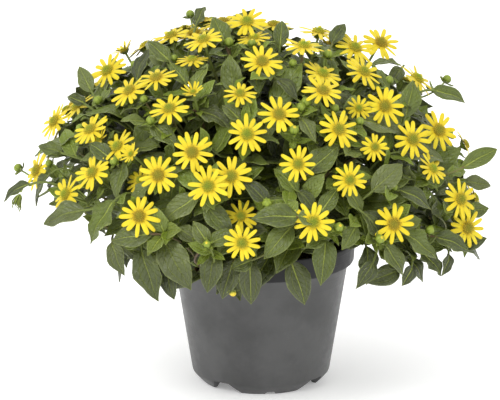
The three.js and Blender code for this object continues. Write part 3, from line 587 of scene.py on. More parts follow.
class Pile:
    """Surfaces gathered into one mesh. Each corner keeps its place on its own
    leaf, petal or tube and that one's size, which the materials read."""

    def __init__(self):
        self.points = []
        self.marks = {"place": [], "size": []}
        self.faces = {3: [], 4: []}
        self.slots = {3: [], 4: []}
        self.count = 0

    def join(self, faces, slot=0, first=0):
        """Adds faces over points that are there, counted from the first."""
        faces = np.asarray(faces, dtype=int)
        self.faces[faces.shape[1]].append(faces + first)
        self.slots[faces.shape[1]].append(np.full(len(faces), slot))

    def add(self, points, faces, slot=0, place=(0, 0, 0), size=(0, 0, 0)):
        """Adds points with faces. Place and size have three parts, each a number
        or an array that spreads over the points."""
        zeros = np.zeros(points.shape[:-1])
        for key, parts in (("place", place), ("size", size)):
            self.marks[key].append(np.stack([zeros + part for part in parts], axis=-1).reshape(-1, 3))
        self.points.append(points.reshape(-1, 3))
        self.join(faces, slot, self.count)
        self.count += zeros.size

    def add_grid(self, grid, slot=0, place=(0, 0, 0), size=(0, 0, 0), closed=False, flip=False):
        """Adds rows of points with faces between them, all round if closed."""
        faces = grid_faces(*grid.shape[:2], closed)
        self.add(grid, faces[:, ::-1] if flip else faces, slot, place, size)

    def add_copy(self, other, centre, axes, size):
        """Adds a pile of four-cornered faces, on axes of its own."""
        places = np.concatenate(other.marks["place"])
        points = centre + np.concatenate(other.points) @ axes
        self.add(points, np.concatenate(other.faces[4]), 0, places.T, size)

    def make(self, name, materials):
        mesh = bpy.data.meshes.new(name)
        points = np.concatenate(self.points) * MM
        mesh.vertices.add(len(points))
        mesh.vertices.foreach_set("co", points.ravel())
        groups = [(n, np.concatenate(self.faces[n])) for n in (3, 4) if self.faces[n]]
        loops = np.concatenate([faces.ravel() for _, faces in groups])
        totals = np.concatenate([np.full(len(faces), n) for n, faces in groups])
        mesh.loops.add(len(loops))
        mesh.loops.foreach_set("vertex_index", loops)
        mesh.polygons.add(len(totals))
        mesh.polygons.foreach_set("loop_start", np.concatenate([[0], np.cumsum(totals)[:-1]]))
        mesh.polygons.foreach_set("loop_total", totals)
        slots = np.concatenate([np.concatenate(self.slots[n]) for n, _ in groups])
        mesh.polygons.foreach_set("material_index", slots)
        mesh.polygons.foreach_set("use_smooth", np.ones(len(totals), dtype=bool))
        for key, values in self.marks.items():
            layer = mesh.attributes.new(key, "FLOAT_VECTOR", "POINT")
            layer.data.foreach_set("vector", np.concatenate(values).ravel())
        mesh.update()
        mesh.validate()
        for material in materials:
            mesh.materials.append(material)
        return put_in_scene(name, mesh)


def put_in_scene(name, data):
    piece = bpy.data.objects.new(name, data)
    bpy.context.scene.collection.objects.link(piece)
    return piece


# Blades and stalks. The ranges are drawn from for each leaf. Widths and heights
# across a blade are shares of its half width, and along it of its length.
LEAF, UNDERSIDE, STEM, BUD = 0, 1, 2, 3
BLADE_ROWS = np.array([0, 0.05, 0.1, 0.17, 0.26, 0.37, 0.48, 0.59, 0.7, 0.8, 0.88, 0.95, 1])
BLADE_COLUMNS = np.array([-1, -0.82, -0.55, -0.27, 0, 0.27, 0.55, 0.82, 1])
SMALL_BLADE_ROWS = np.array([0, 0.1, 0.22, 0.38, 0.55, 0.72, 0.87, 1])
SMALL_BLADE_COLUMNS = np.array([-1, -0.5, 0, 0.5, 1])
BLADE_BASE_SHARE = 0.09
BLADE_ROUNDNESS = 0.68
LEAST_BASE_WIDTH, LEAST_TIP_WIDTH = 0.09, 0.03
BLADE_BREADTHS = (0.95, 1.08)
BLADE_TAPERS = (0.94, 1.14)
WAVE_COUNTS = (1.3, 2.6)
WAVE_HEIGHTS = (0.1, 0.3)
FOLD_RISE, FOLD_EASE = 0.5, 0.28
SWELL_HEIGHT, SWELL_START, SWELL_SPAN = 0.1, 0.05, 0.5
ROLL_COUNTS = (0.8, 1.5)
ROLL_HEIGHT = 0.032
TIP_DROOP = 0.05
BLADE_THICKNESS = 0.3
MIDRIB_THICKNESS, MIDRIB_REACH = 0.35, 0.8
JOINT_SWELLING, JOINT_REACH = 0.35, 0.012


def blade_width(shares, taper, stalked):
    """The leaf's half width along it, as a share of its widest."""
    inside = np.clip((shares - stalked) / (1 - stalked), 0, 1)
    root = BLADE_ROUNDNESS
    widest = root / (root + taper)
    most = widest**root * (1 - widest) ** taper
    form = inside**root * (1 - inside) ** taper / most
    return np.maximum(form, np.where(shares < 0.5, LEAST_BASE_WIDTH, LEAST_TIP_WIDTH))


def add_blade(pile, leaf, keys, age, rows=BLADE_ROWS, columns=BLADE_COLUMNS, stalked=BLADE_BASE_SHARE):
    """A leaf with its fold, its waved margin and the swell between its veins."""
    d = [draw(*keys, k) for k in range(31, 38)]
    a, b, c = leaf.curve
    length = distance(a, c)
    t, s = rows[:, None], columns[None, :]
    near = np.abs(s)
    spine = on_curve(leaf.curve, rows)
    along = units(2 * (1 - t) * (b - a) + 2 * t * (c - b))
    side = units(np.cross(along, leaf.facing))
    normal = np.cross(side, along)
    half = leaf.width / 2 * between(*BLADE_BREADTHS, d[0])
    half = (half * blade_width(rows, between(*BLADE_TAPERS, d[1]), stalked))[:, None]
    phase = 2 * math.pi * np.where(s < 0, d[3], d[4])
    wave = np.sin(2 * math.pi * between(*WAVE_COUNTS, d[2]) * t + phase)
    wave = wave * near**2 * between(*WAVE_HEIGHTS, d[5])
    fold = FOLD_RISE * near - FOLD_EASE * near**2
    swell = SWELL_HEIGHT * np.sin(math.pi * np.clip((near - SWELL_START) / SWELL_SPAN, 0, 2)) ** 2
    roll = np.sin(2 * math.pi * (between(*ROLL_COUNTS, d[3]) * t + d[4])) * np.sin(math.pi * t)
    lift = half * (fold + wave + swell) + length * (ROLL_HEIGHT * roll - TIP_DROOP * t**3 * d[6])
    top = spine[:, None] + side[:, None] * (half * s)[..., None] + normal[:, None] * lift[..., None]
    thick = BLADE_THICKNESS + MIDRIB_THICKNESS * np.exp(-((s * half / MIDRIB_REACH) ** 2))
    under = top - normal[:, None] * (thick * (1 - near**4))[..., None]
    place, size = (s, t, d[0]), (half, length, age)
    pile.add_grid(top, LEAF, place, size)
    pile.add_grid(under, UNDERSIDE, place, size, flip=True)


def add_small_blade(pile, plan, keys, age):
    add_blade(pile, plan, keys, age, SMALL_BLADE_ROWS, SMALL_BLADE_COLUMNS, 0.0)


def add_tube(pile, spine, radii, across, sides, tint, age=0.0):
    """A round stalk along a line of points."""
    along = units(np.gradient(spine, axis=0))
    v = units(across - along * (along @ across)[:, None])
    u = np.cross(v, along)
    angles = even_angles(sides)[None, :, None]
    radii = np.broadcast_to(np.asarray(radii, dtype=float), len(spine))[:, None]
    ring = u[:, None] * np.cos(angles) + v[:, None] * np.sin(angles)
    place = (angles[..., 0] / math.pi - 1, np.linspace(0, 1, len(spine))[:, None], tint)
    pile.add_grid(spine[:, None] + ring * radii[..., None], STEM, place, (radii, 1.0, age), closed=True)


def add_stalk(pile, branch, rows, radius, sides, tint, age=0.0, joints=(), end=1.0):
    """A branch's own stalk, thicker where leaves leave it. Gives its middle line."""
    shares = np.linspace(0, end, rows)
    thicker = sum(np.exp(-(((shares - joint) / JOINT_REACH) ** 2)) for joint in joints)
    spine = on_curve(branch.path, shares)
    add_tube(pile, spine, radius * (1 + JOINT_SWELLING * thicker), branch.across, sides, tint, age)
    return spine


# Leaves that the photograph shows between the heads
def inner_leaf(row):
    base, tip = leaf_ends(row, 0.0)
    shoot = nearest_shoot(base)
    return shoot, edge_leaf(base, tip, nearest_root(shoot, base))


inner_leaves = [inner_leaf(row) for row in INNER_LEAVES]
shown_leaves = [leaf for shoot in shoots for leaf in shoot.edge_leaves]
shown_leaves += [leaf for _, leaf in inner_leaves]


# What a leaf of the rule's own may not hide: round places, each with its centre,
# the way it faces and its radius.
HEAD_SHOWN_SHARE = 0.9
LEAF_SHOWN_SHARE = 0.32
BUD_SHOWN_RADIUS = 4.0
SAMPLE_SHARES = np.array([0.15, 0.35, 0.55, 0.75, 0.9, 1])
SAMPLE_TAPER = 0.8
COVER_BELOW, COVER_ABOVE = -1, 40
LENS_REACH = 1.05
BEHIND_FROM = 20

bud_places = [on_dome(*row) for row in BUDS]
HEAD_PLACES = (
    np.array([head.centre for head in heads]),
    np.array([head.facing for head in heads]),
    np.array([head.size * HEAD_RADIUS * HEAD_SHOWN_SHARE for head in heads]),
)
HEADS_IN_VIEW = tuple(part[HEAD_PLACES[1] @ FORWARD < 0.1] for part in HEAD_PLACES)
LEAF_PLACES = (
    np.array([on_curve(leaf.curve, 0.5) for leaf in shown_leaves]),
    np.array([leaf.facing for leaf in shown_leaves]),
    np.array([distance(leaf.curve[0], leaf.curve[2]) * LEAF_SHOWN_SHARE for leaf in shown_leaves]),
)
BUD_PLACES = (np.array(bud_places), np.tile(-FORWARD, (len(BUDS), 1)), np.full(len(BUDS), BUD_SHOWN_RADIUS))


def leaf_samples(leaf):
    """Points over a leaf: along its midrib and its two margins."""
    spine = on_curve(leaf.curve, SAMPLE_SHARES)
    side = unit(np.cross(leaf.curve[2] - leaf.curve[0], leaf.facing))
    half = leaf.width / 2 * blade_width(SAMPLE_SHARES, SAMPLE_TAPER, 0)
    edge = side[None, :] * half[:, None]
    return np.concatenate([spine, spine + edge, spine - edge])


def stands_before(points, centres, facings, radii):
    """Whether any point lies between the lens and one of the round places."""
    rays = points - EYE
    reach = ((centres - EYE) * facings).sum(-1)[None] / (rays @ facings.T)
    met = EYE + rays[:, None] * reach[..., None]
    off = np.linalg.norm(met - centres[None], axis=-1)
    return bool(((reach > 1) & (reach < LENS_REACH) & (off < radii)).any())


def stands_over(points, centres, facings, radii):
    """Whether any point lies in front of one of the round places."""
    apart = points[:, None] - centres[None]
    above = np.einsum("phx,hx->ph", apart, facings)
    beside = np.sqrt(np.maximum(0, (apart**2).sum(-1) - above**2))
    return bool(((above > COVER_BELOW) & (above < COVER_ABOVE) & (beside < radii)).any())


def hides_head(points):
    return stands_over(points, *HEAD_PLACES) or stands_before(points, *HEADS_IN_VIEW)


def to_frame(points):
    """Where points are seen, across and down the photograph's frame."""
    rays = points - EYE
    steps = SIGHT_DISTANCE / SIGHT_STEP / (rays @ FORWARD)
    seen = [FRAME_ACROSS / 2 + rays[:, 0] * steps, FRAME_DOWN / 2 - rays @ OVERHEAD * steps]
    return np.stack(seen, axis=-1)


def inside_outline(seen):
    """Whether each place in the frame is inside the mound's outline."""
    start = np.array(MOUND_OUTLINE, dtype=float)
    end = np.roll(start, -1, axis=0)
    x, y = seen[:, :1], seen[:, 1:]
    straddles = (start[:, 1] > y) != (end[:, 1] > y)
    rise = np.where(end[:, 1] == start[:, 1], 1, end[:, 1] - start[:, 1])
    crossing = start[:, 0] + (y - start[:, 1]) / rise * (end[:, 0] - start[:, 0])
    return (straddles & (x < crossing)).sum(-1) % 2 == 1


def within_mound(points):
    """The back of the mound has the outline of its front, turned about its axis."""
    behind = points[:, 1] > BEHIND_FROM
    turned = np.array([to_back(point) for point in points])
    return bool((inside_outline(to_frame(points)) & (inside_outline(to_frame(turned)) | ~behind)).all())


def in_thin_place(point):
    places = np.array(THIN_PLACES, dtype=float)
    front = point if point[1] < 0 else to_back(point)
    seen = to_frame(front[None])
    return bool((np.linalg.norm(places[:, :2] - seen, axis=1) < places[:, 2]).any())


def covers_collar_end(points):
    apart = np.linalg.norm(to_frame(points) - np.array(COLLAR_END), axis=1)
    return bool((apart < COLLAR_END_REACH).any())


def leaf_fits(points):
    if in_thin_place(points[2]) or not within_mound(points) or covers_collar_end(points):
        return False
    hides_shown = stands_before(points, *BUD_PLACES) or stands_before(points, *LEAF_PLACES)
    return not hides_shown and not hides_head(points)


# Petals. The ranges are drawn from for each petal. Widths are shares of the
# head's radius, and slopes of a petal's own run.
PETAL_COUNT = 12.6
PETAL_SHARES = np.array([0, 0.15, 0.33, 0.52, 0.7, 0.84, 0.94, 1])[:, None]
PETAL_WIDTHS = np.array([0.74, 0.84, 0.94, 1.0, 1.0, 0.9, 0.68, 0.28])[:, None]
PETAL_COLUMNS = np.array([-1, -0.5, 0, 0.5, 1])[None, :]
PETAL_HALF_WIDTH = 0.106
PETAL_ROOT = 0.18
PETAL_NOTCH = 0.035
PETAL_TURNS = (-0.11, 0.11)
PETAL_REACHES = (0.89, 1.04)
PETAL_SLOPES, YOUNG_SLOPES = (0.02, 0.22), (0.45, 0.8)
PETAL_DROOPS, YOUNG_DROOPS = (0.08, 0.24), (0.0, 0.1)
PETAL_BREADTHS = (0.9, 1.1)
PETAL_TWISTS = (-0.35, 0.35)
PETAL_BENDS = (-0.05, 0.05)
PETAL_ARCH = 0.3
PETAL_SINK = 0.06
UPPER_ROW_RISE = 0.25
PETAL_THICKNESS = 0.22
HALF_OPEN_BELOW = 0.62


def add_petals(pile, head, keys):
    here = branch_frame(head, 1.0)
    facing = head.facing
    radius = HEAD_RADIUS * head.size
    young = head.size < HALF_OPEN_BELOW
    slopes, droops = (YOUNG_SLOPES, YOUNG_DROOPS) if young else (PETAL_SLOPES, PETAL_DROOPS)
    count = math.floor(PETAL_COUNT + draw(*keys, 40))
    t, s = PETAL_SHARES, PETAL_COLUMNS
    for index in range(count):
        d = [draw(*keys, 41, index, k) for k in range(8)]
        angle = head.turn + index * 2 * math.pi / count + between(*PETAL_TURNS, d[0])
        radial = spoke(here.u, here.v, angle)
        aside = np.cross(facing, radial)
        root = radius * PETAL_ROOT
        reach = radius * between(*PETAL_REACHES, d[1])
        half = radius * PETAL_HALF_WIDTH * between(*PETAL_BREADTHS, d[4]) * PETAL_WIDTHS
        run = root + (reach - root) * (t - PETAL_NOTCH * (t == 1) * (s == 0))
        rise = (run - root) * (between(*slopes, d[2]) - between(*droops, d[3]) * t)
        rise = rise - half * PETAL_ARCH * s**2 + between(*PETAL_TWISTS, d[5]) * s * half * t
        rise = rise - radius * PETAL_SINK + UPPER_ROW_RISE * (index % 2)
        bend = radius * between(*PETAL_BENDS, d[7]) * t**2
        top = head.centre + radial * run[..., None] + aside * (half * s + bend)[..., None]
        top = top + facing * rise[..., None]
        under = top - facing * (PETAL_THICKNESS * (1 - s**4) + 0 * t)[..., None]
        place, size = (s, t, d[6]), (half, radius, head.age)
        pile.add_grid(top, 0, place, size, flip=True)
        pile.add_grid(under, 0, place, size)


# Discs, as shares of the head's radius
FLORET_COUNT = 55
FLORET_SIDES = 5
FLORET_RADII = np.array([0.021, 0.026, 0.009])
FLORET_RISES = np.array([0, 1, 0.75])
FLORET_LENGTHS = (0.05, 0.1)
OUTER_FLORETS_FROM = 0.55
OUTER_FLORET_SCALE, INNER_FLORET_SCALE = 1.15, 0.8
MOST_FLORET_TILT = 1.05
DISC_RADIUS = 0.29
DISC_HEIGHT = 0.15
DISC_SINK = 0.02
FLORET_REACH, DOME_REACH = 0.93, 0.97
FLORET_LEAN = np.array([0.3, 0.2, 1])
DOME_SIDES = 14
DOME_SHARES = np.array([0.0001, 0.35, 0.7, 0.92, 1.0])
DOME_HEIGHTS = np.array([1, 0.88, 0.5, 0.1, -0.5])


def disc_template():
    """Small open tubes in a spiral on a dome, for a head of radius 1."""
    disc = Pile()
    for index in range(FLORET_COUNT):
        share = math.sqrt((index + 0.5) / FLORET_COUNT)
        outward = spoke(EAST, NORTH, index * GOLDEN_TURN)
        tilt = share * MOST_FLORET_TILT
        normal = outward * math.sin(tilt) + UP * math.cos(tilt)
        rise = DISC_HEIGHT * (1 - share**2) - DISC_SINK
        foot = outward * (DISC_RADIUS * FLORET_REACH * share) + UP * rise
        across = unit(np.cross(normal, FLORET_LEAN))
        scale = OUTER_FLORET_SCALE if share > OUTER_FLORETS_FROM else INNER_FLORET_SCALE
        heights = FLORET_RISES * pick(FLORET_LENGTHS, FLORET_HEIGHTS, index) * scale
        other = np.cross(normal, across)
        tube = foot + rings(FLORET_RADII, heights, FLORET_SIDES, across, other, normal, index)
        disc.add_grid(tube, 0, (share, FLORET_RISES[:, None], draw(FLORET_TINTS, index)), closed=True)
    radii, heights = DOME_SHARES * DISC_RADIUS * DOME_REACH, DOME_HEIGHTS * DISC_HEIGHT - DISC_SINK
    dome = rings(radii, heights, DOME_SIDES)
    disc.add_grid(dome, 0, (DOME_SHARES[:, None], 0.0, 0.5), closed=True, flip=True)
    return disc


DISC = disc_template()


def add_disc(pile, head):
    u, facing = branch_frame(head, 1.0).u, head.facing
    radius = HEAD_RADIUS * head.size
    axes = np.stack([u, np.cross(facing, u), facing]) * radius
    pile.add_copy(DISC, head.centre, axes, (radius, 1.0, head.age))


# The green cup below a head: radii as shares of the head's, and heights. A bract
# has its root at a share of that radius and a depth.
CUP_RADII = np.array([0.06, 0.12, 0.2, 0.27, 0.3])
CUP_HEIGHTS = np.array([-5.2, -4.6, -3.6, -2.4, -1.5])
CUP_SIDES = 12
BRACT_COUNT = 10
BRACT_ROOT, BRACT_ROOT_DEPTH = 0.16, 4.4
BRACT_WIDTH, BRACT_BOW, BRACT_AGE = 0.2, -0.04, 0.8
BRACT_REACHES = (0.38, 0.46)
BRACT_DROPS = (0.9, 1.9)


def add_bracts(pile, head, keys):
    """The cup, with a ring of pointed bracts round it."""
    u, facing = branch_frame(head, 1.0).u, head.facing
    v = np.cross(facing, u)
    radius, size, centre = HEAD_RADIUS * head.size, head.size, head.centre
    tint = draw(*keys, 50)
    cup = centre + rings(CUP_RADII * radius, CUP_HEIGHTS * size, CUP_SIDES, u, v, facing)
    pile.add_grid(cup, BUD, (0, 0.5, tint), (1, 1, head.age), closed=True)
    for index, out in spokes(u, v, BRACT_COUNT, tint):
        base = centre + out * radius * BRACT_ROOT - facing * BRACT_ROOT_DEPTH * size
        tip = centre + out * radius * pick(BRACT_REACHES, *keys, 51, index)
        tip = tip - facing * pick(BRACT_DROPS, *keys, 52, index) * size
        plan = leaf_plan(base, tip, unit(out - facing * 0.5), radius * BRACT_WIDTH, radius * BRACT_BOW)
        add_small_blade(pile, plan, (*keys, 53, index), BRACT_AGE)


# Buds
BUD_RADIUS = 2.9
BUD_RADIUS_SCALES = (0.8, 1.1)
BUD_SIDES = 10
BUD_ROWS = np.linspace(0.02, 0.98, 8)
BUD_TALLNESS = 0.95
BUD_SEAMS, SEAM_DEPTH = 5, 0.06
BUD_AGES = (0.6, 1.0)
BUD_RISE = 0.4
BUD_STALK_RADIUS, BUD_STALK_ROWS, BUD_STALK_END_DEPTH, YOUNG_STALK_AGE = 0.6, 14, 0.8, 0.7
# The small leaves under a bud: sizes as shares of its radius
SEPAL_COUNT = 5
SEPAL_REACHES = (1.3, 2.2)
SEPAL_ROOT, SEPAL_DROP, SEPAL_WIDTH, SEPAL_BOW, SEPAL_AGE = 0.9, 0.2, 0.9, -0.12, 0.9
# The young leaves round it: width and bow as shares of their length
NEST_LEAF_COUNT = 4
NEST_LEAF_LENGTHS = (8, 14)
NEST_LEAF_SLOPES = (0.1, 0.6)
NEST_LEAF_WIDTH, NEST_LEAF_BOW, NEST_LEAF_AGE = 0.42, -0.08, 0.95


def across_axes(across, facing):
    u = unit(across - facing * np.dot(across, facing))
    return u, np.cross(facing, u)


def add_bud(pile, centre, facing, across, keys, radius, ripe=None):
    """A green globe of overlapping bracts, with small leaves below it."""
    u, v = across_axes(across, facing)
    angles, polar = even_angles(BUD_SIDES)[None, :], BUD_ROWS[:, None] * math.pi
    radii = radius * np.sin(polar) * (1 + SEAM_DEPTH * np.cos(BUD_SEAMS * angles) * np.sin(polar))
    heights = -radius * BUD_TALLNESS * np.cos(polar)
    globe = centre + rings(radii, heights, BUD_SIDES, u, v, facing)
    age = ripe or pick(BUD_AGES, *keys, 2)
    place = (angles / math.pi - 1, BUD_ROWS[:, None], draw(*keys, 1))
    pile.add_grid(globe, BUD, place, (radius, 1.0, age), closed=True)
    for index, out in spokes(u, v, SEPAL_COUNT, draw(*keys, 3) * 3):
        base = centre - facing * radius * SEPAL_ROOT
        tip = centre + out * radius * pick(SEPAL_REACHES, *keys, 4, index)
        tip = tip - facing * radius * SEPAL_DROP
        plan = leaf_plan(base, tip, unit(facing + out * 0.2), radius * SEPAL_WIDTH, radius * SEPAL_BOW)
        add_small_blade(pile, plan, (*keys, 5, index), SEPAL_AGE)


def add_nest(pile, place, facing, across, keys):
    """The narrow young leaves that stand round a bud."""
    u, v = across_axes(across, facing)
    for index, out in spokes(u, v, NEST_LEAF_COUNT, draw(*keys, 30) * 3):
        length = pick(NEST_LEAF_LENGTHS, *keys, 31, index)
        heading = unit(out + facing * pick(NEST_LEAF_SLOPES, *keys, 32, index))
        tip = place + heading * length
        width, bow = length * NEST_LEAF_WIDTH, length * NEST_LEAF_BOW
        plan = leaf_plan(place, tip, unit(facing - out * 0.3), width, bow)
        if not hides_head(leaf_samples(plan)):
            add_small_blade(pile, plan, (*keys, 33, index), NEST_LEAF_AGE)


def stalk_to(shoot, centre, facing, keys, below):
    """A branch from the shoot's stem to just below a point."""
    step = len(STEM_SHARES) - 1 - math.floor(2 * draw(*keys, 6))
    root = stem_root(shoot, step)
    away = along_curve(shoot.stem.path, STEM_SHARES[step])
    reach = distance(centre, root)
    end = centre - facing * below
    path = [root, root + away * reach * STALK_START, end - facing * reach * BUD_STALK_END, end]
    across = unit(np.cross(away, facing) + SLIGHTLY_ASKEW)
    return Record(path=path, across=across, turn=draw(*keys, 7) * math.pi)


# Everything is gathered shoot by shoot
for shoot in shoots:
    shoot.foliage, shoot.petals, shoot.discs = Pile(), Pile(), Pile()


STEM_TAPER = np.linspace(1.1, 0.85, 36)


def dress_stem(shoot):
    pile, stem, index = shoot.foliage, shoot.stem, shoot.index
    radii = STEM_RADIUS * STEM_TAPER
    add_stalk(pile, stem, len(radii), radii, 8, draw(STEM_TINTS, index), joints=STEM_SHARES[1:])
    for level, pair in enumerate(stem.pairs):
        for side, leaf in enumerate(pair):
            add_blade(pile, leaf, (STEM_LEAF_DRAWS, index, level, side), 0.0)


# Leaves with a stalk of their own, and the small pair that a long one carries
PETIOLE_RADII = np.linspace(0.65, 0.75, 9)
PETIOLE_BEND, PETIOLE_OVERLAP, PETIOLE_AGE = 0.35, 1.5, 0.2
STALKED_LEAF_AGES = (0, 0.4)
LONG_STALK = 18.0
COMPANION_JOINT = 6
COMPANION_TRIES = 5
COMPANION_LENGTHS = (15, 25)
COMPANION_SLOPES = (0.3, 0.9)
COMPANION_LIFT, COMPANION_WIDTH, COMPANION_BOW, COMPANION_AGE = 0.15, 0.5, 0.05, 0.6


def add_stalked_leaf(shoot, leaf, keys):
    pile = shoot.foliage
    base, root = leaf.curve[0], leaf.root
    first = unit(leaf.curve[1] - base)
    bend = base - first * PETIOLE_BEND * distance(base, root)
    shares = np.linspace(0, 1, len(PETIOLE_RADII))
    spine = on_curve([root, bend, base + first * PETIOLE_OVERLAP], shares)
    across = unit(np.cross(first, leaf.facing))
    add_tube(pile, spine, PETIOLE_RADII, across, 6, draw(*keys, 1), PETIOLE_AGE)
    add_blade(pile, leaf, keys, pick(STALKED_LEAF_AGES, *keys, 2), stalked=0.0)
    if distance(base, root) > LONG_STALK:
        before, joint = spine[COMPANION_JOINT - 1], spine[COMPANION_JOINT]
        add_companions(pile, joint, unit(joint - before), leaf, keys)


def add_companions(pile, joint, along, leaf, keys):
    """A small pair at the joint below a leaf, where it fits."""
    side = unit(np.cross(along, leaf.facing))
    for sign in (-1, 1):
        length = pick(COMPANION_LENGTHS, *keys, 20, sign + 1)
        for attempt in range(COMPANION_TRIES):
            slope = pick(COMPANION_SLOPES, *keys, 21, attempt, sign + 1)
            heading = unit(along * slope + side * sign)
            tip = joint + (heading + leaf.facing * COMPANION_LIFT) * length * (1 - 0.08 * attempt)
            plan = leaf_plan(joint, tip, leaf.facing, length * COMPANION_WIDTH, length * COMPANION_BOW)
            if leaf_fits(leaf_samples(plan)):
                add_blade(pile, plan, (*keys, 22, sign + 1), COMPANION_AGE, SMALL_BLADE_ROWS)
                break


def dress_edge_leaves(shoot):
    for index, leaf in enumerate(shoot.edge_leaves):
        add_stalked_leaf(shoot, leaf, (EDGE_LEAF_DRAWS, shoot.index, index))


def dress_inner_leaves():
    for index, (shoot, leaf) in enumerate(inner_leaves):
        add_stalked_leaf(shoot, leaf, (INNER_LEAF_DRAWS, index))


SINGLE_LENGTHS = (0.88, 1.1)


def pair_leaves(branch, share, turn, length, keys, spread, droop):
    """An opposite pair with a length of its own for each leaf."""
    lengths = [length * pick(SINGLE_LENGTHS, *keys, 8, side) for side in (0, 2)]
    return pair_at(branch, turn, share, (0, 2), lengths, droop, math.radians(spread))


# The small pair below a head
HEAD_PAIR_SHARE = 0.84
HEAD_PAIR_LENGTHS = (12, 22)
HEAD_PAIR_SPREAD, HEAD_PAIR_DROOP = 58, 0.1
HEAD_PAIR_TRIES = 4
HEAD_PAIR_AGE = 0.7
HEAD_STALK_ROWS, HEAD_STALK_AGE = 18, 0.4
STALK_LEAF_AGES = (0, 0.5)
FULL_HEAD_FROM, SMALL_HEAD_AGE = 0.9, 0.35


def add_head_pair(pile, head, keys):
    for attempt in range(HEAD_PAIR_TRIES):
        turn = head.turn + math.pi / 2 + attempt * math.pi / 4
        length = pick(HEAD_PAIR_LENGTHS, *keys, 60) * (1 - 0.1 * attempt) * head.size
        plans = pair_leaves(
            head, HEAD_PAIR_SHARE, turn, length, (*keys, 61), HEAD_PAIR_SPREAD, HEAD_PAIR_DROOP
        )
        fits = [plan for plan in plans if not hides_head(leaf_samples(plan))]
        if len(fits) < 2 and attempt < HEAD_PAIR_TRIES - 1:
            continue
        for side, plan in enumerate(fits):
            add_blade(pile, plan, (*keys, 62, side), HEAD_PAIR_AGE, SMALL_BLADE_ROWS)
        return


def dress_head(shoot, head):
    keys = (HEAD_DRAWS, *head.keys)
    head.age = draw(*keys, 1) * (1 if head.size > FULL_HEAD_FROM else SMALL_HEAD_AGE)
    joints = [STALK_PAIR_SHARE] if head.pairs else []
    tint = draw(*keys, 2)
    add_stalk(shoot.foliage, head, HEAD_STALK_ROWS, STALK_RADIUS, 6, tint, HEAD_STALK_AGE, joints)
    add_petals(shoot.petals, head, keys)
    add_disc(shoot.discs, head)
    add_bracts(shoot.foliage, head, keys)
    for pair in head.pairs:
        for side, leaf in enumerate(pair):
            add_blade(shoot.foliage, leaf, (*keys, 3, side), pick(STALK_LEAF_AGES, *keys, 4))
    add_head_pair(shoot.foliage, head, keys)


def dress_buds():
    places = list(enumerate(bud_places))
    behind = [(index + 100, to_back(place)) for index, place in places]
    places += [(index, place) for index, place in behind if within_mound(place[None])]
    for index, place in places:
        keys = (BUD_DRAWS, index)
        shoot = nearest_shoot(place)
        pile = shoot.foliage
        facing = raised_outward(place, BUD_RISE)
        radius = BUD_RADIUS * pick(BUD_RADIUS_SCALES, *keys, 11)
        branch = stalk_to(shoot, place, facing, keys, radius * BUD_STALK_END_DEPTH)
        tint = draw(*keys, 12)
        spine = add_stalk(pile, branch, BUD_STALK_ROWS, BUD_STALK_RADIUS, 5, tint, YOUNG_STALK_AGE)
        add_bud(pile, place, facing, branch.across, keys, radius)
        add_nest(pile, spine[-3], facing, branch.across, keys)


# Leaves deep in the mound, which close it against the light behind
DEEP_LEAF_COUNT = 130
DEEP_LEAF_REACH = 88.0
DEEP_LEAF_DEPTHS = (0.42, 0.76)
DEEP_LEAF_HALF_LENGTHS = (16, 24)
DEEP_LEAF_START, LOWEST_DEEP_LEAF = 4.0, -0.05
DEEP_LEAF_LEAN = np.array([0.1, 0.2, 1])


def dress_inside():
    for index in range(DEEP_LEAF_COUNT):
        keys = (DEEP_LEAF_DRAWS, index)
        direction = even_direction(index, DEEP_LEAF_COUNT, LOWEST_DEEP_LEAF, DEEP_LEAF_START)
        centre = DOME_CENTRE + direction * DOME_RADIUS * pick(DEEP_LEAF_DEPTHS, *keys, 1)
        facing = outward_at(centre)
        along = unit(np.cross(facing, DEEP_LEAF_LEAN))
        heading = spoke(along, np.cross(facing, along), draw(*keys, 2) * 2 * math.pi)
        half = heading * pick(DEEP_LEAF_HALF_LENGTHS, *keys, 3)
        shoot = nearest_shoot(centre)
        leaf = edge_leaf(centre - half, centre + half, nearest_root(shoot, centre - half))
        points = leaf_samples(leaf)
        within = abs(centre[0] - DOME_CENTRE[0]) < DEEP_LEAF_REACH and within_mound(points)
        if within and not hides_head(points) and not stands_before(points, *LEAF_PLACES):
            add_stalked_leaf(shoot, leaf, keys)


# The ripe bud and the spent head
HANGING_FACING = unit(vec(0.2, -0.3, -1))
HANGING_BUD_RADIUS = 2.2
RIPE_AGE = 1.4
SPENT_FACING = unit(vec(-0.35, -0.3, -1))
LONE_STALK_ROWS = 16
HANGING_STALK_RADIUS, SPENT_STALK_RADIUS = 0.55, 0.6
SPENT_BRACTS = 8
SPENT_LENGTHS = (7, 11)
SPENT_SPREADS = (1.5, 4)
SPENT_WIDTHS = (1.4, 2.2)


def dress_hanging_bud():
    """A ripe bud that hangs between the lowest leaves."""
    place = on_dome(*HANGING_BUD)
    shoot = nearest_shoot(place)
    pile, keys = shoot.foliage, (LONE_DRAWS, 1)
    branch = stalk_to(shoot, place, HANGING_FACING, keys, 2.4)
    add_stalk(pile, branch, LONE_STALK_ROWS, HANGING_STALK_RADIUS, 5, 0.2, YOUNG_STALK_AGE)
    add_bud(pile, place, HANGING_FACING, branch.across, keys, HANGING_BUD_RADIUS, RIPE_AGE)


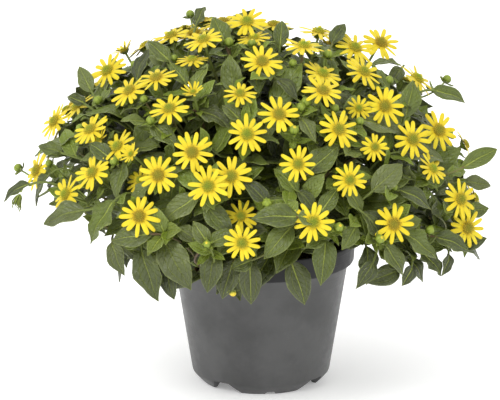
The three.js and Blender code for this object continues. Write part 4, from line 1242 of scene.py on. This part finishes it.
def dress_spent_head():
    """A head that has dropped its petals, with its narrow bracts hanging."""
    place = on_dome(*SPENT_HEAD)
    shoot = nearest_shoot(place)
    pile, keys = shoot.foliage, (LONE_DRAWS, 2)
    branch = stalk_to(shoot, place, SPENT_FACING, keys, 1.0)
    add_stalk(pile, branch, LONE_STALK_ROWS, SPENT_STALK_RADIUS, 5, 0.6, 0.6)
    u, v = across_axes(branch.across, SPENT_FACING)
    for index, out in spokes(u, v, SPENT_BRACTS):
        tip = place + SPENT_FACING * pick(SPENT_LENGTHS, *keys, 3, index)
        tip = tip + out * pick(SPENT_SPREADS, *keys, 4, index)
        width = pick(SPENT_WIDTHS, *keys, 5, index)
        plan = leaf_plan(place + out * 0.6, tip, out, width, 0.8)
        add_small_blade(pile, plan, (*keys, 6, index), 1.0)


# Side shoots: short leafy branches that fill the mound between the heads. Each
# pair has its share along the branch, lengths, spread in degrees, droop and age.
SIDE_SHOOT_COUNT = 190
SIDE_SHOOT_START, SIDE_SHOOT_LOWEST = 2.0, -0.2
SIDE_SHOOT_DEPTHS = (8, 34)
SIDE_SHOOT_RISE = 0.25
SIDE_STALK_RADIUS, SIDE_STALK_ROWS, SIDE_STALK_AGE = 0.85, 12, 0.3
SIDE_LEAF_BREADTHS = (0.85, 1.05)
SIDE_PAIR_TRIES = 6
SIDE_PAIR_SHORTER = 0.07
SIDE_PAIRS = [
    (1.0, (16, 26), 38, 0.12, 0.75),
    (0.8, (28, 40), 62, 0.22, 0.35),
    (0.58, (42, 42), 74, 0.32, 0.1),
]


def side_pair(branch, level, keys):
    """The leaves of one pair that fit, at the first turn where both do."""
    share, lengths, spread, droop, _ = SIDE_PAIRS[level]
    length = pick(lengths, *keys, 20 + level)
    for attempt in range(SIDE_PAIR_TRIES):
        turn = branch.turn + level * math.pi / 2 + attempt * math.pi / SIDE_PAIR_TRIES
        shorter = length * (1 - SIDE_PAIR_SHORTER * attempt)
        plans = pair_leaves(branch, share, turn, shorter, (*keys, level), spread, droop)
        fits = [plan for plan in plans if leaf_fits(leaf_samples(plan))]
        if len(fits) == 2:
            return fits
    return fits


def dress_side_shoot(index):
    keys = (SIDE_SHOOT_DRAWS, index)
    direction = even_direction(index, SIDE_SHOOT_COUNT, SIDE_SHOOT_LOWEST, SIDE_SHOOT_START)
    centre = DOME_CENTRE + direction * (DOME_RADIUS - pick(SIDE_SHOOT_DEPTHS, *keys, 1))
    if in_thin_place(centre) or not within_mound(centre[None]):
        return
    shoot = nearest_shoot(centre)
    branch = stalk_to(shoot, centre, raised_outward(centre, SIDE_SHOOT_RISE), keys, 0.0)
    grown = 0.0
    for level, (share, *_, age) in enumerate(SIDE_PAIRS):
        for side, plan in enumerate(side_pair(branch, level, keys)):
            plan.width *= pick(SIDE_LEAF_BREADTHS, *keys, level, side, 9)
            add_blade(shoot.foliage, plan, (*keys, level, side), age)
            grown = max(grown, share)
    if grown:
        radius, tint = SIDE_STALK_RADIUS, draw(*keys, 10)
        add_stalk(shoot.foliage, branch, SIDE_STALK_ROWS, radius, 6, tint, SIDE_STALK_AGE, end=grown)


for shoot in shoots:
    dress_stem(shoot)
    dress_edge_leaves(shoot)
    for head in shoot.heads:
        dress_head(shoot, head)
dress_inner_leaves()
dress_inside()
dress_buds()
dress_hanging_bud()
dress_spent_head()
for index in range(SIDE_SHOOT_COUNT):
    dress_side_shoot(index)


# Materials
class Value:
    """What a node gives. Materials add, multiply and compare it as a number."""

    def __init__(self, finish, socket):
        self.finish = finish
        self.socket = socket

    def __add__(self, other):
        return self.finish.math("ADD", self, other)

    def __sub__(self, other):
        return self.finish.math("SUBTRACT", self, other)

    def __rsub__(self, other):
        return self.finish.math("SUBTRACT", other, self)

    def __mul__(self, other):
        return self.finish.math("MULTIPLY", self, other)

    def __truediv__(self, other):
        return self.finish.math("DIVIDE", self, other)

    def __abs__(self):
        return self.finish.math("ABSOLUTE", self)

    def fraction(self):
        return self.finish.math("FRACT", self)

    def sine(self):
        return self.finish.math("SINE", self)

    def cosine(self):
        return self.finish.math("COSINE", self)

    def step(self, low, high, to_low=0.0, to_high=1.0):
        """Runs smoothly from to_low at low to to_high at high."""
        inputs = {"Value": self, "From Min": low, "From Max": high, "To Min": to_low, "To Max": to_high}
        return self.finish.value("ShaderNodeMapRange", inputs, interpolation_type="SMOOTHSTEP")


class Finish:
    """A material and short calls for its nodes."""

    def __init__(self, name, **values):
        self.material = bpy.data.materials.new(name)
        self.material.use_nodes = True
        self.nodes = self.material.node_tree.nodes
        self.links = self.material.node_tree.links
        self.shader = self.nodes["Principled BSDF"]
        for socket, value in values.items():
            self.shader.inputs[socket.replace("_", " ")].default_value = value

    def put(self, socket, value):
        if isinstance(value, Value):
            self.links.new(value.socket, socket)
        else:
            socket.default_value = value

    def add(self, kind, inputs, **settings):
        node = self.nodes.new(kind)
        for key, value in settings.items():
            setattr(node, key, value)
        for key, value in inputs.items():
            self.put(node.inputs[key], value)
        return node

    def value(self, kind, inputs, output=0, **settings):
        return Value(self, self.add(kind, inputs, **settings).outputs[output])

    def math(self, operation, a, b=0.0):
        return self.value("ShaderNodeMath", {0: a, 1: b}, operation=operation)

    def mix(self, share, a, b):
        return self.value("ShaderNodeMix", {0: share, 6: a, 7: b}, 2, data_type="RGBA")

    def split(self, source):
        node = self.add("ShaderNodeSeparateXYZ", {0: source})
        return [Value(self, output) for output in node.outputs]

    def marks(self, name):
        """The three parts of what the meshes keep at their corners."""
        return self.split(self.value("ShaderNodeAttribute", {}, "Vector", attribute_name=name))

    def where(self):
        return self.value("ShaderNodeTexCoord", {}, "Object")

    def height(self):
        return self.split(self.where())[2]

    def noise(self, scale, detail=3.0, roughness=0.6):
        inputs = {"Vector": self.where(), "Scale": scale, "Detail": detail, "Roughness": roughness}
        return self.value("ShaderNodeTexNoise", inputs)

    def finished(self, colour, rough, relief=None, strength=0.0, deep=0.0):
        """The material with its colour and roughness, and a relief with its depth in metres."""
        self.put(self.shader.inputs["Base Color"], colour)
        self.put(self.shader.inputs["Roughness"], rough)
        if relief:
            inputs = {"Height": relief, "Strength": strength, "Distance": deep}
            self.put(self.shader.inputs["Normal"], self.value("ShaderNodeBump", inputs))
        return self.material


def tone(red, green, blue):
    """A colour given as it looks on a screen, 0 to 255."""
    shares = [value / 255 for value in (red, green, blue)]
    linear = [s / 12.92 if s <= 0.04045 else ((s + 0.055) / 1.055) ** 2.4 for s in shares]
    return (*linear, 1.0)


# A leaf's tones: dark, middle, young, grey and midrib. The grey tone, given to some leaves, is partly their
# own grey-green and partly painted sheen.
LEAF_TONES = (tone(44, 52, 16), tone(82, 95, 20), tone(118, 138, 24), tone(96, 103, 56), tone(158, 170, 70))
UNDERSIDE_TONES = (
    tone(80, 88, 48), tone(104, 112, 58), tone(124, 138, 52), tone(111, 117, 80), tone(150, 160, 84)
)
# Leaves low on the mound are darkened as painted shade, for the light from above that reaches them less:
# below the first height most so, and above the second not at all, in metres.
LOW_LEAF_SHADE_HEIGHTS = (0.088, 0.138)
LOW_LEAF_SHADE_SHARE = 0.7
MIDRIB_WIDTHS = (0.62, 0.18)
MIDRIBS_SHOWN = (0.3, 1.0)
NETTED_SHARE, VEIN_SHARE, MARGIN_SHARE = 0.12, 0.24, 0.34
LEAF_ROUGHNESS = (0.24, 0.52)


def leaf_finish(name, tones, rib_share, gloss, sheen):
    dark, middle, young, grey_and_painted_sheen, rib_tone = tones
    finish = Finish(name, Specular_IOR_Level=gloss, Sheen_Weight=sheen, Sheen_Roughness=0.45)
    s, t, tint = finish.marks("place")
    half, _, age = finish.marks("size")
    near = abs(s)
    # The midrib, the two veins that arch beside it, the net between and the margin
    rib = (near * half / t.step(0, 1, *MIDRIB_WIDTHS)).step(0.55, 1.15, 1, 0)
    rib = rib * (tint * 13).fraction().step(0, 1, *MIDRIBS_SHOWN)
    vein = (abs(near - (t * 2.7).sine() * 0.55) * half).step(0.08, 0.42, 1, 0) * t.step(0.7, 0.92, 1, 0)
    netted = abs((t * 8 - near * 2.4).fraction() - 0.5).step(0, 0.09, 1, 0)
    margin = ((1 - near) * half).step(0, 0.5, 1, 0)
    # From dark to middle by leaf and by patch, then young leaves, grey-green leaves with painted sheen, and
    # painted shade on the low leaves
    mottle = finish.noise(230, 5, 0.7).step(0.34, 0.66)
    patches = finish.noise(80, 2).step(0.36, 0.64)
    shade = tint * 0.66 + mottle * 0.26 + patches * 0.2
    body = finish.mix(shade.step(0.1, 0.95), dark, middle)
    body = finish.mix(age.step(0.05, 1), body, young)
    # Some leaves turn grey-green: partly their own tone, partly painted sheen.
    body = finish.mix((tint * 7).fraction().step(0.55, 1, 0, 0.55), body, grey_and_painted_sheen)
    # Painted shade: leaves low on the mound are darkened towards the dark tone.
    body = finish.mix(finish.height().step(*LOW_LEAF_SHADE_HEIGHTS, LOW_LEAF_SHADE_SHARE, 0), body, dark)
    for mark, share in ((netted, NETTED_SHARE), (vein, rib_share * VEIN_SHARE), (margin, MARGIN_SHARE)):
        body = finish.mix(mark * share, body, rib_tone)
    body = finish.mix(rib * rib_share, body, rib_tone)
    rough = finish.noise(300).step(0.35, 0.65, *LEAF_ROUGHNESS)
    relief = finish.noise(1800) * 0.35 + finish.noise(180, 2) * 1.6
    relief = relief - rib * 0.9 - vein * 0.4 - netted * 0.35
    return finish.finished(body, rough, relief, 0.85, 0.001)


def stem_finish():
    finish = Finish("stem", Specular_IOR_Level=0.35)
    around, _, tint = finish.marks("place")
    age = finish.marks("size")[2]
    green = finish.mix(age, tone(96, 106, 50), tone(140, 156, 70))
    purple = (tint * 0.55 + finish.noise(70) * 0.6).step(0.62, 0.88, 0, 0.85)
    colour = finish.mix(purple, green, tone(96, 66, 52))
    ridges = (around * (math.pi * 6)).sine()
    return finish.finished(colour, 0.55, ridges * 0.4 + finish.noise(2500), 0.4, 0.0003)


def bud_finish():
    """Green bracts with darker seams. The tip opens yellow, and so does a ripe bud's upper half."""
    finish = Finish("bud", Specular_IOR_Level=0.4)
    around, t, _ = finish.marks("place")
    age = finish.marks("size")[2]
    seams = abs((around * (math.pi * 2.5)).sine()).step(0, 0.35, 1, 0)
    body = finish.mix(t.step(0.1, 0.8), tone(76, 94, 30), tone(128, 144, 42))
    body = finish.mix(seams * 0.6, body, tone(62, 80, 28))
    tip = t.step(0.84, 0.98) * age.step(0.86, 0.94)
    ripe = t.step(0.3, 0.7) * age.step(1.1, 1.3, 0, 0.75)
    body = finish.mix(finish.math("MAXIMUM", tip, ripe), body, tone(236, 206, 50))
    return finish.finished(body, 0.5, finish.noise(1500) - seams * 0.8, 0.5, 0.0004)


def petal_finish():
    """Yellow, deeper at the base, and darker along the grooves, partly their own veins and partly painted
    shade in them.
    """
    finish = Finish("petal", Specular_IOR_Level=0.25, Sheen_Weight=0.1, Sheen_Roughness=0.4)
    s, t, tint = finish.marks("place")
    grooves = (s * (math.pi * 4)).cosine()
    body = finish.mix(tint, tone(209, 187, 24), tone(217, 200, 34))
    body = finish.mix(t.step(0.08, 0.4, 0.55, 0), body, tone(212, 172, 18))
    # Darker along the grooves: partly the petal's own veins, partly painted shade in the grooves.
    body = finish.mix(grooves.step(-0.9, 0.2, 0.25, 0), body, tone(204, 166, 16))
    body = finish.mix(finish.noise(350) * 0.2, body, tone(250, 232, 84))
    return finish.finished(body, 0.55, grooves * 0.5 + finish.noise(1200) * 0.4, 0.6, 0.0003)


def disc_finish():
    """Green in the middle and yellow outside, and browner in old heads. Darker at the florets' feet and on
    the dome between them, as painted shade.
    """
    finish = Finish("disc", Specular_IOR_Level=0.3)
    share, rise, tint = finish.marks("place")
    age = finish.marks("size")[2]
    centre = finish.mix(age, tone(130, 164, 46), tone(150, 142, 42))
    outer = finish.mix(age, tone(190, 184, 42), tone(180, 150, 40))
    body = finish.mix(share.step(0.35, 0.85), centre, outer)
    body = finish.mix(tint * 0.4, body, tone(206, 184, 52))
    # Painted shade: the florets' feet and the dome between them are darkened.
    body = finish.mix(rise.step(0, 0.5, 0.55, 0), body, tone(96, 92, 26))
    return finish.finished(body, 0.7, finish.noise(3000), 0.5, 0.0003)


plant_materials = [
    leaf_finish("leaf", LEAF_TONES, 0.75, 0.55, 0.02),
    leaf_finish("leaf_underside", UNDERSIDE_TONES, 0.6, 0.35, 0.1),
    stem_finish(),
    bud_finish(),
]
petal_material = petal_finish()
disc_material = disc_finish()


def make_shoot(shoot):
    name = shoot.name
    pieces = [shoot.foliage.make(f"{name}_leaves", plant_materials)]
    if shoot.heads:
        pieces.append(shoot.petals.make(f"{name}_petals", [petal_material]))
        pieces.append(shoot.discs.make(f"{name}_discs", [disc_material]))
    for piece in pieces:
        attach(piece, "root")
        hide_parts(name)


for shoot in shoots:
    make_shoot(shoot)


# Pot
POT_SIDES = 128
FOOT_INNER_RADIUS = FOOT_RADIUS - FOOT_WIDTH
# Each gap and dent: its width at the bottom and at the top, and its height.
FOOT_GAP = (23, 12, FOOT_HEIGHT)
FOOT_DENT = (8.4, 4.4, 1.9)
WEDGE_FACES = [(0, 1, 2, 3), (7, 6, 5, 4), (0, 4, 5, 1), (1, 5, 6, 2), (2, 6, 7, 3), (3, 7, 4, 0)]
DRAIN_RADIUS = 3.5
DRAIN_INSET = 8.0
DRAIN_SIDES = 24
SHARP_ANGLE = math.radians(32)
# The faint rings in the wall fade in between these heights, in metres.
RING_HEIGHTS = (0.060, 0.068)
RING_SPACING = 5.5
# Each finish: its darkest and lightest tone, its scuffs and its gloss. The collar's tones are darker than
# the wall's, partly its own tone and partly painted shade from the foliage above it.
POT_FINISHES = [
    ("pot_plastic", tone(58, 58, 58), tone(74, 74, 74), tone(96, 95, 93), 0.5),
    ("collar_plastic_painted_shade", tone(40, 40, 41), tone(48, 48, 49), tone(56, 56, 56), 0.12),
]


def inner_wall_radius(height):
    share = (height - WALL_FOOT_HEIGHT) / (COLLAR_FOOT - WALL_FOOT_HEIGHT)
    return between(WALL_BOTTOM_RADIUS, WALL_TOP_RADIUS, share) - WALL_THICKNESS


# Radius and height, from the axis under the pad round to the axis on the floor
POT_PROFILE = [
    # Pad and underside
    (0, 0), (PAD_RADIUS, 0), (PAD_RADIUS + 1, FLOOR_UNDERSIDE), (FOOT_INNER_RADIUS - 1, FLOOR_UNDERSIDE),
    # Foot ring
    (FOOT_INNER_RADIUS - 0.2, 0.5), (FOOT_INNER_RADIUS + 0.4, 0), (FOOT_RADIUS - 0.5, 0),
    (FOOT_RADIUS + 0.2, 0.4), (FOOT_RADIUS + 2.6, 2.6), (FOOT_RADIUS + 4.8, 4.9),
    # Wall
    (WALL_BOTTOM_RADIUS - 0.5, WALL_FOOT_HEIGHT - 0.9), (WALL_BOTTOM_RADIUS, WALL_FOOT_HEIGHT + 0.4),
    (WALL_TOP_RADIUS, COLLAR_FOOT - 0.8), (WALL_TOP_RADIUS + 0.6, COLLAR_FOOT - 0.4),
    # Collar and its rounded lip
    (RIM_RADIUS - 1.9, COLLAR_FOOT), (RIM_RADIUS - 1.4, COLLAR_FOOT + 0.3),
    (RIM_RADIUS - 0.9, COLLAR_FOOT + 1.2), (RIM_RADIUS - 0.1, POT_HEIGHT - 1.4),
    (RIM_RADIUS, POT_HEIGHT - 0.8), (RIM_RADIUS - 0.2, POT_HEIGHT - 0.2),
    (RIM_RADIUS - 0.7, POT_HEIGHT), (COLLAR_INNER_RADIUS + 0.9, POT_HEIGHT),
    (COLLAR_INNER_RADIUS + 0.2, POT_HEIGHT - 0.3), (COLLAR_INNER_RADIUS, POT_HEIGHT - 1),
    # Inside
    (COLLAR_INNER_RADIUS - 0.7, COLLAR_FOOT + 1.5), (inner_wall_radius(COLLAR_FOOT), COLLAR_FOOT - 1.2),
    (inner_wall_radius(FLOOR_TOP), FLOOR_TOP), (0, FLOOR_TOP),
]


def turned_form(profile, sides):
    """A turned form, closed on its axis at both ends."""
    pile = Pile()
    radii, heights = np.array(profile[1:-1]).T
    walls = rings(radii, heights, sides)
    ends = [UP * profile[0][1], UP * profile[-1][1]]
    pile.add(np.concatenate([walls.reshape(-1, 3), ends]), grid_faces(*walls.shape[:2], closed=True))
    here = np.arange(sides)
    after = (here + 1) % sides
    top = (len(radii) - 1) * sides
    bottom_fan = np.stack([np.full(sides, pile.count - 2), after, here], axis=1)
    top_fan = np.stack([np.full(sides, pile.count - 1), top + here, top + after], axis=1)
    pile.join(np.concatenate([bottom_fan, top_fan]))
    return pile


def cutter(points, faces):
    mesh = bpy.data.meshes.new("cutter")
    mesh.from_pydata((np.array(points) * MM).tolist(), [], faces)
    return put_in_scene("cutter", mesh)


def notch_cutter(angle, bottom_width, top_width, height):
    """A wedge with sloped ends that opens a gap in the pot's foot."""
    low, high = bottom_width / 2, top_width / 2
    outline = [(-low, -1), (low, -1), (high, height), (-high, height)]
    reaches = (FOOT_INNER_RADIUS - 3, WALL_BOTTOM_RADIUS + 2)
    points = about_axis([(side, reach, rise) for reach in reaches for side, rise in outline], angle)
    return cutter(points, WEDGE_FACES)


def hole_cutter(angle):
    centre = about_axis((0, FOOT_INNER_RADIUS - DRAIN_INSET, 0), angle)
    walls = centre + rings([DRAIN_RADIUS, DRAIN_RADIUS], [-2, FLOOR_TOP + 2], DRAIN_SIDES)
    faces = grid_faces(2, DRAIN_SIDES, closed=True).tolist()
    faces += [list(range(DRAIN_SIDES))[::-1], list(range(DRAIN_SIDES, 2 * DRAIN_SIDES))]
    return cutter(walls.reshape(-1, 3), faces)


def pot_finish(name, low, high, wear, gloss):
    """Grey plastic with a fine grain, scuffs, and faint rings below the collar."""
    finish = Finish(name, Specular_IOR_Level=gloss)
    soft = finish.noise(26, 4)
    scuffs = finish.noise(160, 5, 0.75)
    height = finish.height()
    body = finish.mix(soft.step(0.35, 0.65), low, high)
    body = finish.mix(scuffs.step(0.5, 0.8, 0, 0.22), body, wear)
    waves = (height * (2 * math.pi / (RING_SPACING * MM))).sine()
    marks = waves.step(0.8, 1) * height.step(*RING_HEIGHTS)
    relief = finish.noise(1400) + soft * 2 + marks * 2
    return finish.finished(body, scuffs.step(0.3, 0.7, 0.36, 0.5), relief, 0.12, 0.0004)


def cut_foot(pot):
    """The gaps, dents and drain holes, cut out of the pot."""
    cutters = []
    for index in range(FOOT_COUNT):
        foot = FOOT_TURN + index * 2 * math.pi / FOOT_COUNT
        gap = foot + math.pi / FOOT_COUNT
        cutters += [notch_cutter(gap, *FOOT_GAP), notch_cutter(foot, *FOOT_DENT), hole_cutter(gap)]
    for one in cutters:
        cut = pot.modifiers.new("cut", "BOOLEAN")
        cut.object = one
        cut.operation = "DIFFERENCE"
        cut.solver = "EXACT"
    bpy.context.view_layer.update()
    evaluated = pot.evaluated_get(bpy.context.evaluated_depsgraph_get())
    mesh = bpy.data.meshes.new_from_object(evaluated)
    pot.modifiers.clear()
    pot.data = mesh
    for one in cutters:
        bpy.data.objects.remove(one)


def make_pot():
    pot = turned_form(POT_PROFILE, POT_SIDES).make("pot_body", [])
    cut_foot(pot)
    mesh = pot.data
    mesh.set_sharp_from_angle(angle=SHARP_ANGLE)
    mesh.materials.clear()
    for finish in POT_FINISHES:
        mesh.materials.append(pot_finish(*finish))
    for face in mesh.polygons:
        # Faces above the collar's foot take the darker collar finish, with its painted shade.
        face.material_index = int(face.center.z > COLLAR_FOOT * MM)
    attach(pot, "root")
    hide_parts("pot")


make_pot()


# Soil
SOIL_ROWS = np.linspace(0.02, 1, 26)
SOIL_SIDES = 96
SOIL_GAP = 0.8
LUMP_HEIGHT = 1.6
CRUMB_COUNT = 900
CRUMB_SIZES = (0.6, 2.0)
CRUMB_CORNERS = np.array([(1, 0, 0), (-0.5, 0.87, 0), (-0.5, -0.87, 0), (0, 0, 0.9), (0, 0, -0.9)])
CRUMB_FACES = [(0, 1, 3), (1, 2, 3), (2, 0, 3), (1, 0, 4), (2, 1, 4), (0, 2, 4)]


def soil_finish():
    finish = Finish("potting_soil", Specular_IOR_Level=0.2)
    grain = finish.noise(420, 6, 0.7)
    fibres = finish.noise(1500, 2).step(0.62, 0.72)
    body = finish.mix(grain.step(0.35, 0.7), tone(38, 28, 20), tone(92, 68, 48))
    body = finish.mix(fibres * 0.5, body, tone(128, 98, 66))
    return finish.finished(body, 0.95, grain, 1.0, 0.0015)


def soil_height(radii):
    return SOIL_HEIGHT + SOIL_MOUND * (1 - (radii / inner_wall_radius(COLLAR_FOOT)) ** 2)


def add_crumb(pile, index):
    radius = math.sqrt(draw(CRUMB_REACHES, index)) * (COLLAR_INNER_RADIUS - 3)
    place = spoke(EAST, NORTH, draw(CRUMB_TURNS, index) * 2 * math.pi) * radius
    size = between(*CRUMB_SIZES, draw(CRUMB_DRAWS, index) ** 2)
    crumb = CRUMB_CORNERS * size * vec(1, between(0.6, 1, draw(CRUMB_BREADTHS, index)), 0.7)
    crumb = about_axis(crumb, draw(CRUMB_SPINS, index) * 3)
    pile.add(place + UP * (soil_height(radius) + 0.3) + crumb, CRUMB_FACES)


def make_soil():
    pile = Pile()
    radii = SOIL_ROWS * (COLLAR_INNER_RADIUS - SOIL_GAP)
    lumps = np.array([[draw(SOIL_LUMPS, i, j) for j in range(SOIL_SIDES)] for i in range(len(radii))])
    lumps = (lumps - 0.5) * LUMP_HEIGHT
    lumps[-1] = 0
    pile.add_grid(rings(radii, soil_height(radii)[:, None] + lumps, SOIL_SIDES), closed=True, flip=True)
    for index in range(CRUMB_COUNT):
        add_crumb(pile, index)
    soil = pile.make("soil_surface", [soil_finish()])
    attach(soil, "root")
    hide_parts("soil")


make_soil()


# Floor, lights and camera, in metres and watts
FLOOR_REACH = 12.0
FLOOR_TONE = tone(250, 250, 250)
SKY_STRENGTH = 1.05
LIGHT_TARGET = (0, 0, 0.13)
# Each light's name, place, size and power
LIGHTS = [
    ("key", (-1.1, -1.7, 1.9), (1.1, 1.1), 40),
    ("fill", (1.9, -1.2, 0.9), (1.2, 1.6), 6),
    ("back", (0.3, 1.8, 1.6), (1.6, 1.0), 8),
]
SENSOR_WIDTH = 36.0


def make_floor():
    mesh = bpy.data.meshes.new("floor")
    corners = [(x * FLOOR_REACH, y * FLOOR_REACH, 0) for x, y in ((-1, -1), (1, -1), (1, 1), (-1, 1))]
    mesh.from_pydata(corners, [], [(0, 1, 2, 3)])
    finish = Finish("studio_floor", Specular_IOR_Level=0.1, Emission_Strength=0.25)
    finish.put(finish.shader.inputs["Emission Color"], FLOOR_TONE)
    mesh.materials.append(finish.finished(FLOOR_TONE, 0.9))
    floor = put_in_scene("floor", mesh)


def area_light(name, place, size, power):
    light = bpy.data.lights.new(name, "AREA")
    light.shape = "RECTANGLE"
    light.size, light.size_y = size
    light.energy = power
    lamp = put_in_scene(name, light)
    lamp.location = place
    toward = Vector(LIGHT_TARGET) - Vector(place)
    lamp.rotation_euler = toward.to_track_quat("-Z", "Y").to_euler()


def make_studio():
    world = bpy.data.worlds.new("studio")
    world.use_nodes = True
    background = world.node_tree.nodes["Background"]
    background.inputs["Color"].default_value = (1, 1, 1, 1)
    background.inputs["Strength"].default_value = SKY_STRENGTH
    bpy.context.scene.world = world
    for light in LIGHTS:
        area_light(*light)
    bpy.context.scene.view_settings.view_transform = "Standard"


def make_camera():
    camera = bpy.data.cameras.new("camera")
    camera.sensor_width = SENSOR_WIDTH
    camera.lens = SENSOR_WIDTH * SIGHT_DISTANCE / (FRAME_ACROSS * SIGHT_STEP)
    eye = put_in_scene("camera", camera)
    eye.location = Vector(EYE * MM)
    eye.rotation_euler = (math.pi / 2 - SIGHT_ELEVATION, 0, 0)
    bpy.context.scene.camera = eye


make_floor()
make_studio()
make_camera()
